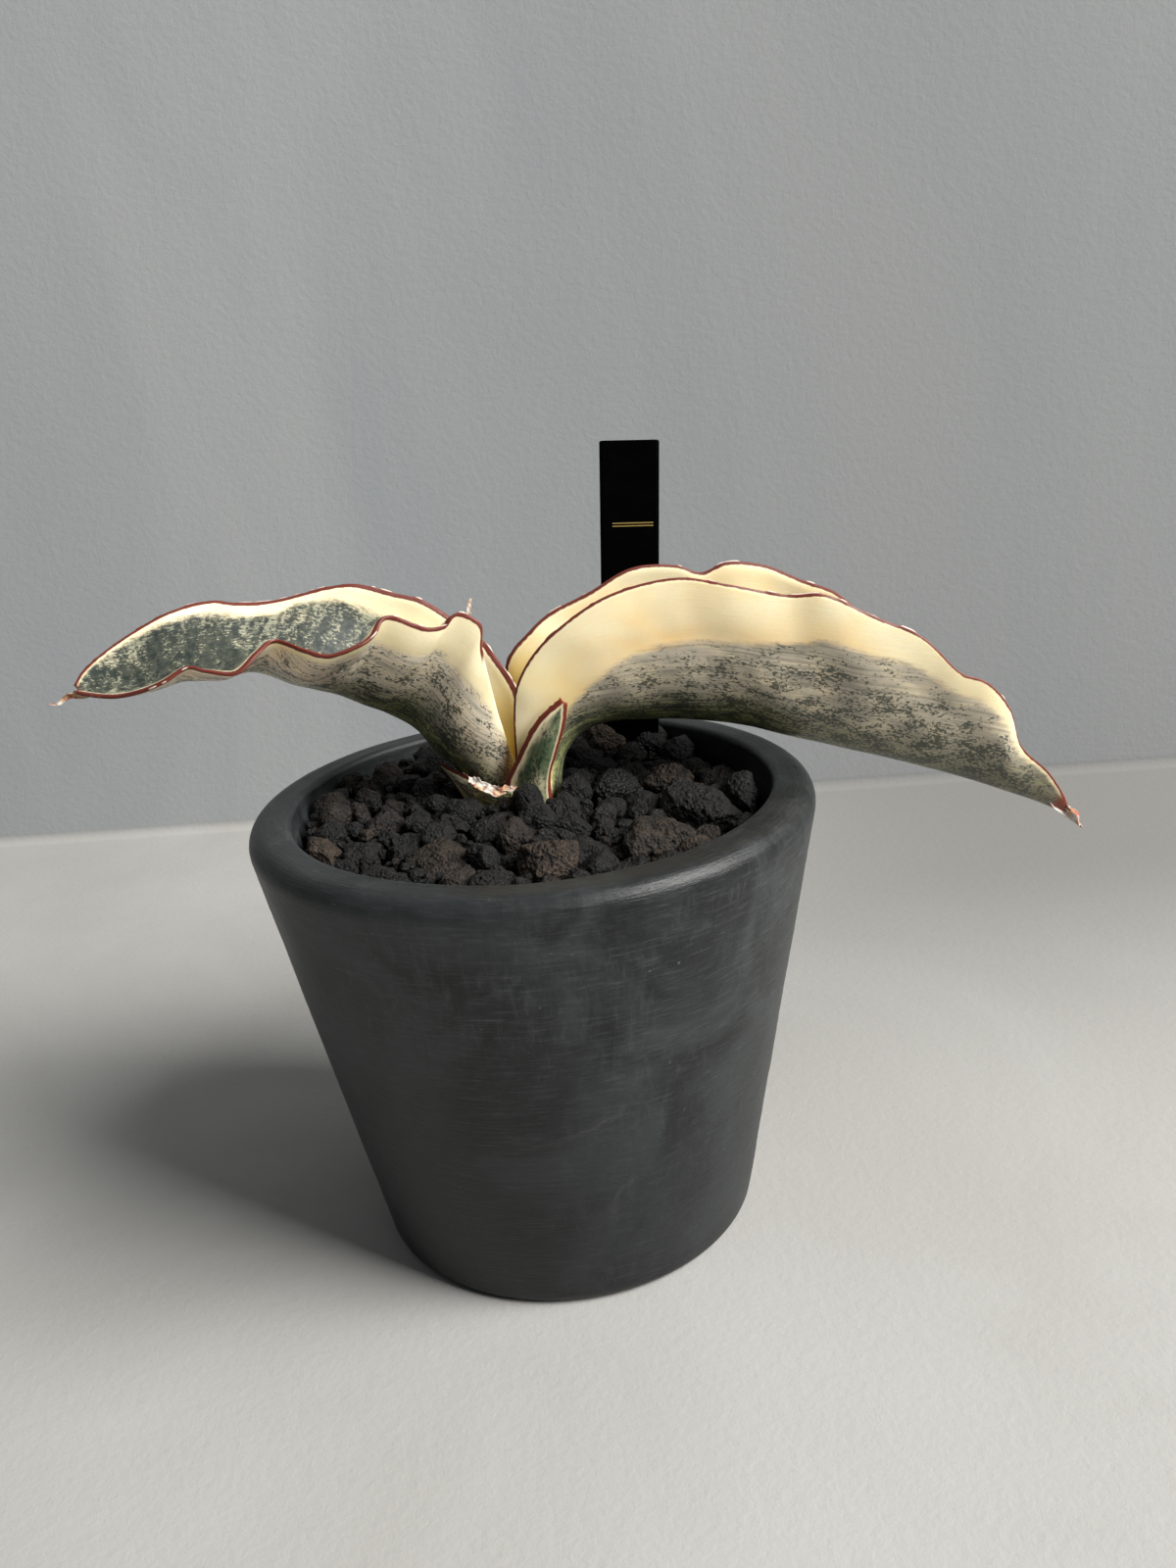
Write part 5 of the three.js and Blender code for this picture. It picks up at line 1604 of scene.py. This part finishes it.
@dataclass
class Studio:
    """Pale floor with a wall close behind, soft lights and the camera.

    The floor and wall are in millimetres, the camera's and the lights' places in metres.
    """

    depth: float = 262.0
    bend: float = 4.0
    skew: float = -0.092          # the wall is turned a little about Z
    half_width: float = 1800.0
    front: float = -900.0
    height: float = 1700.0
    columns: int = 9
    camera_at: Triple = (0.0, -0.25888, 0.1886)
    pitch: float = 0.3319         # radians down
    yaw: float = 0.0468           # radians to the right
    roll: float = -0.0836         # radians
    lens_mm: float = 29.25
    sensor_mm: float = 36.0
    clip_from: float = 0.01
    aim: Triple = (0.0, 0.0, 0.08)
    window_at: Triple = (1.85, -0.92, 1.75)
    window_side: float = 1.6
    window_power: float = 176.0
    window_colour: Colour = (1.0, 0.985, 0.96)
    overhead_at: Triple = (-0.05, -0.1, 1.25)
    overhead_side: float = 1.0
    overhead_power: float = 0.8
    overhead_colour: Colour = (0.97, 0.985, 1.0)
    sky_colour: Colour = (0.90, 0.95, 1.0)
    sky_strength: float = 0.09

    def backdrop_material(self) -> bpy.types.Material:
        """Pale fine plaster, cooler up the wall, the wall darker to the right, painted shade on the floor
        towards the wall on the right, and clear when seen from behind.
        """
        g = Graph("pale_plaster")
        cloud = g.noise(g.place, 6.0, 5.0, 0.6, 0.6)
        grit = g.noise(g.place, 420.0, 4.0, 0.7)
        pale = g.mix(g.step(cloud, 0.3, 0.7), (0.335, 0.330, 0.312), (0.385, 0.382, 0.368))
        pale = g.mix(g.step(grit, 0.60, 0.75, 0.0, 0.3), pale, (0.28, 0.272, 0.258))
        streaks = g.noise(g.stretched(g.place, (1.0, 1.0, 0.3)), 9.0, 5.0, 0.62, 0.5)
        wall = g.mix(g.step(streaks, 0.3, 0.7), (0.305, 0.322, 0.334), (0.350, 0.360, 0.365))
        split = g.axes(g.place)
        aside = g.step(split["X"], -0.12, 0.2)
        # painted shade: the floor darkens towards the wall on the right
        far = g.times(g.step(split["Y"], -0.02, 0.16, 0.0, 0.95), aside)
        pale = g.mix(far, pale, (0.19, 0.188, 0.179))
        wall = g.mix(g.times(aside, 0.6), wall, (0.212, 0.217, 0.217))
        tone = g.mix(g.step(split["Z"], 0.001, 0.006), pale, wall)
        relief = g.bump(grit, 0.5, 0.35)
        material = g.finish(Base_Color=tone, Roughness=0.92, Normal=relief, Specular_IOR_Level=0.1)
        output = next(node for node in material.node_tree.nodes if node.type == "OUTPUT_MATERIAL")
        plaster = output.inputs["Surface"].links[0].from_socket
        side = g.node("ShaderNodeNewGeometry")
        clear = g.node("ShaderNodeBsdfTransparent")
        either = g.node("ShaderNodeMixShader")
        g.feed(either.inputs[0], side.outputs["Backfacing"])
        g.feed(either.inputs[1], plaster)
        g.feed(either.inputs[2], clear.outputs[0])
        g.feed(output.inputs["Surface"], either.outputs[0])
        return material

    def build_backdrop(self) -> None:
        """Floor, round bend and wall as one profile carried along X."""
        t = np.linspace(-math.pi / 2, 0, 13)
        bend = np.stack([self.depth - self.bend + self.bend * np.cos(t),
                         self.bend + self.bend * np.sin(t)], axis=1)
        profile = np.vstack([[[self.front, 0.0]], bend, [[self.depth, self.height]]])
        x = np.linspace(-self.half_width, self.half_width, self.columns)
        grid = np.stack(np.broadcast_arrays(x, profile[:, :1] + self.skew * x, profile[:, 1:]), axis=-1)
        surface = Surface(grid.reshape(-1, 3), quads(len(profile), self.columns))
        surface.object("backdrop", self.backdrop_material())

    def soft_box(self, name: str, at: Triple, side_length: float, power: float, colour: Colour) -> None:
        """A square soft light, turned to face the plant.

        Args:
            name: the light's name.
            at: its centre in metres.
            side_length: width and height in metres.
            power: watts.
            colour: its colour.
        """
        light = bpy.data.lights.new(name, "AREA")
        light.shape, light.energy, light.color = "RECTANGLE", power, colour
        light.size, light.size_y = side_length, side_length
        back = unit(np.array(at) - np.array(self.aim))
        side = unit(np.cross([0.0, 0.0, 1.0], back))
        stand(linked(name, light), np.stack([side, np.cross(back, side), back], axis=1), at)

    def build_lights(self) -> None:
        """Window-like light from the right and a little in front, a weak top light and a dim sky."""
        self.soft_box("window", self.window_at, self.window_side, self.window_power, self.window_colour)
        self.soft_box("overhead", self.overhead_at, self.overhead_side, self.overhead_power,
                      self.overhead_colour)
        world = bpy.data.worlds.new("sky")
        world.use_nodes = True
        background = world.node_tree.nodes["Background"]
        background.inputs["Color"].default_value = (*self.sky_colour, 1.0)
        background.inputs["Strength"].default_value = self.sky_strength
        bpy.context.scene.world = world

    def build_camera(self) -> None:
        """Camera close to the pot, a little above it, tilted down and slightly rolled."""
        level = math.cos(self.pitch)
        ahead = np.array([math.sin(self.yaw) * level, math.cos(self.yaw) * level, -math.sin(self.pitch)])
        right = np.array([math.cos(self.yaw), -math.sin(self.yaw), 0.0])
        up = np.cross(right, ahead)
        turned_right = math.cos(self.roll) * right + math.sin(self.roll) * up
        turned_up = -math.sin(self.roll) * right + math.cos(self.roll) * up
        lens = bpy.data.cameras.new("view")
        lens.lens, lens.sensor_width, lens.sensor_fit = self.lens_mm, self.sensor_mm, "AUTO"
        lens.clip_start = self.clip_from
        camera = linked("view", lens)
        stand(camera, np.stack([turned_right, turned_up, -ahead], axis=1), self.camera_at)
        bpy.context.scene.camera = camera

    def build(self) -> None:
        """Make the whole studio."""
        self.build_camera()
        self.build_backdrop()
        self.build_lights()
        bpy.context.scene.view_settings.view_transform = "Standard"


def dress_inner_nodes() -> None:
    """Give the carried-over CAD nodes their finishes; their meshes stay as they are."""
    finishes = {
        "drainage_net": Granular("net_plastic", (0.012, 0.012, 0.014), (0.035, 0.035, 0.04),
                                 grain_mm=1.2, depth_mm=0.08, rough=0.6),
        "drainage_gravel": Granular("pumice", (0.25, 0.22, 0.17), (0.62, 0.57, 0.48),
                                    grain_mm=5.0, depth_mm=1.8),
        # the mix's own dark brown made near black, as painted shade in the gaps between the stones
        "potting_mix": Granular("potting_mix", (0.004, 0.0035, 0.003), (0.020, 0.016, 0.012),
                                grain_mm=1.8, depth_mm=0.8, rough=0.95),
        "rhizome_and_roots": Granular("rhizome", (0.35, 0.16, 0.055), (0.68, 0.42, 0.20),
                                      grain_mm=2.4, depth_mm=0.25, rough=0.8),
    }
    for name, finish in finishes.items():
        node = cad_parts[name]
        material = finish.material()
        for slot in node.material_slots:
            slot.material = material
        log.info("%s: finish %s", name, finish.name)


def main() -> None:
    """Build the studio, then the plant from the pot up."""
    logging.basicConfig(level=logging.INFO, format="%(message)s")
    Studio().build()
    Pot().build(CharcoalClay().material())
    dress_inner_nodes()
    skin = LeafSkin("leaf_skin_cream").material()
    # the left leaf's pale ground is its own pale beige, made lighter as painted bounce light on its shaded
    # underside
    green = LeafSkin("leaf_skin_green", edge_mm=0.8, dry_from=0.99, speckle=0.022, inner_speckle=0.12,
                     keel_speckle=0.035, keel_shade_share=0.12, blend_mm=1.6, cream_middle=(0.80, 0.68, 0.40),
                     pale=(0.76, 0.68, 0.53)).material()
    small = LeafSkin("leaf_skin_small", speckle=0.05, inner_speckle=0.16, keel_speckle=0.0, keel_share=0.0,
                     keel_shade_share=0.0, edge_mm=1.05, dry_from=0.98, blend_mm=1.0,
                     pale=(0.085, 0.115, 0.06), dark=(0.020, 0.040, 0.020)).material()
    leaves = [right_leaf().build(skin), left_leaf().build(green), front_leaf().build(small)]
    scale = dry_scale().surface()
    settle(scale.object("dry_scale_skin", green), "dry_leaf", "dry_scale")
    DryEnds().build(DryTissue().material())
    label = Label().build(LabelPlastic().material())
    mouth = Pot().mouth_radius - WALL_CLEARANCE
    Stones().build(LavaRock().material(), [*leaves, scale], label.points, mouth)


if __name__ == "__main__":
    main()
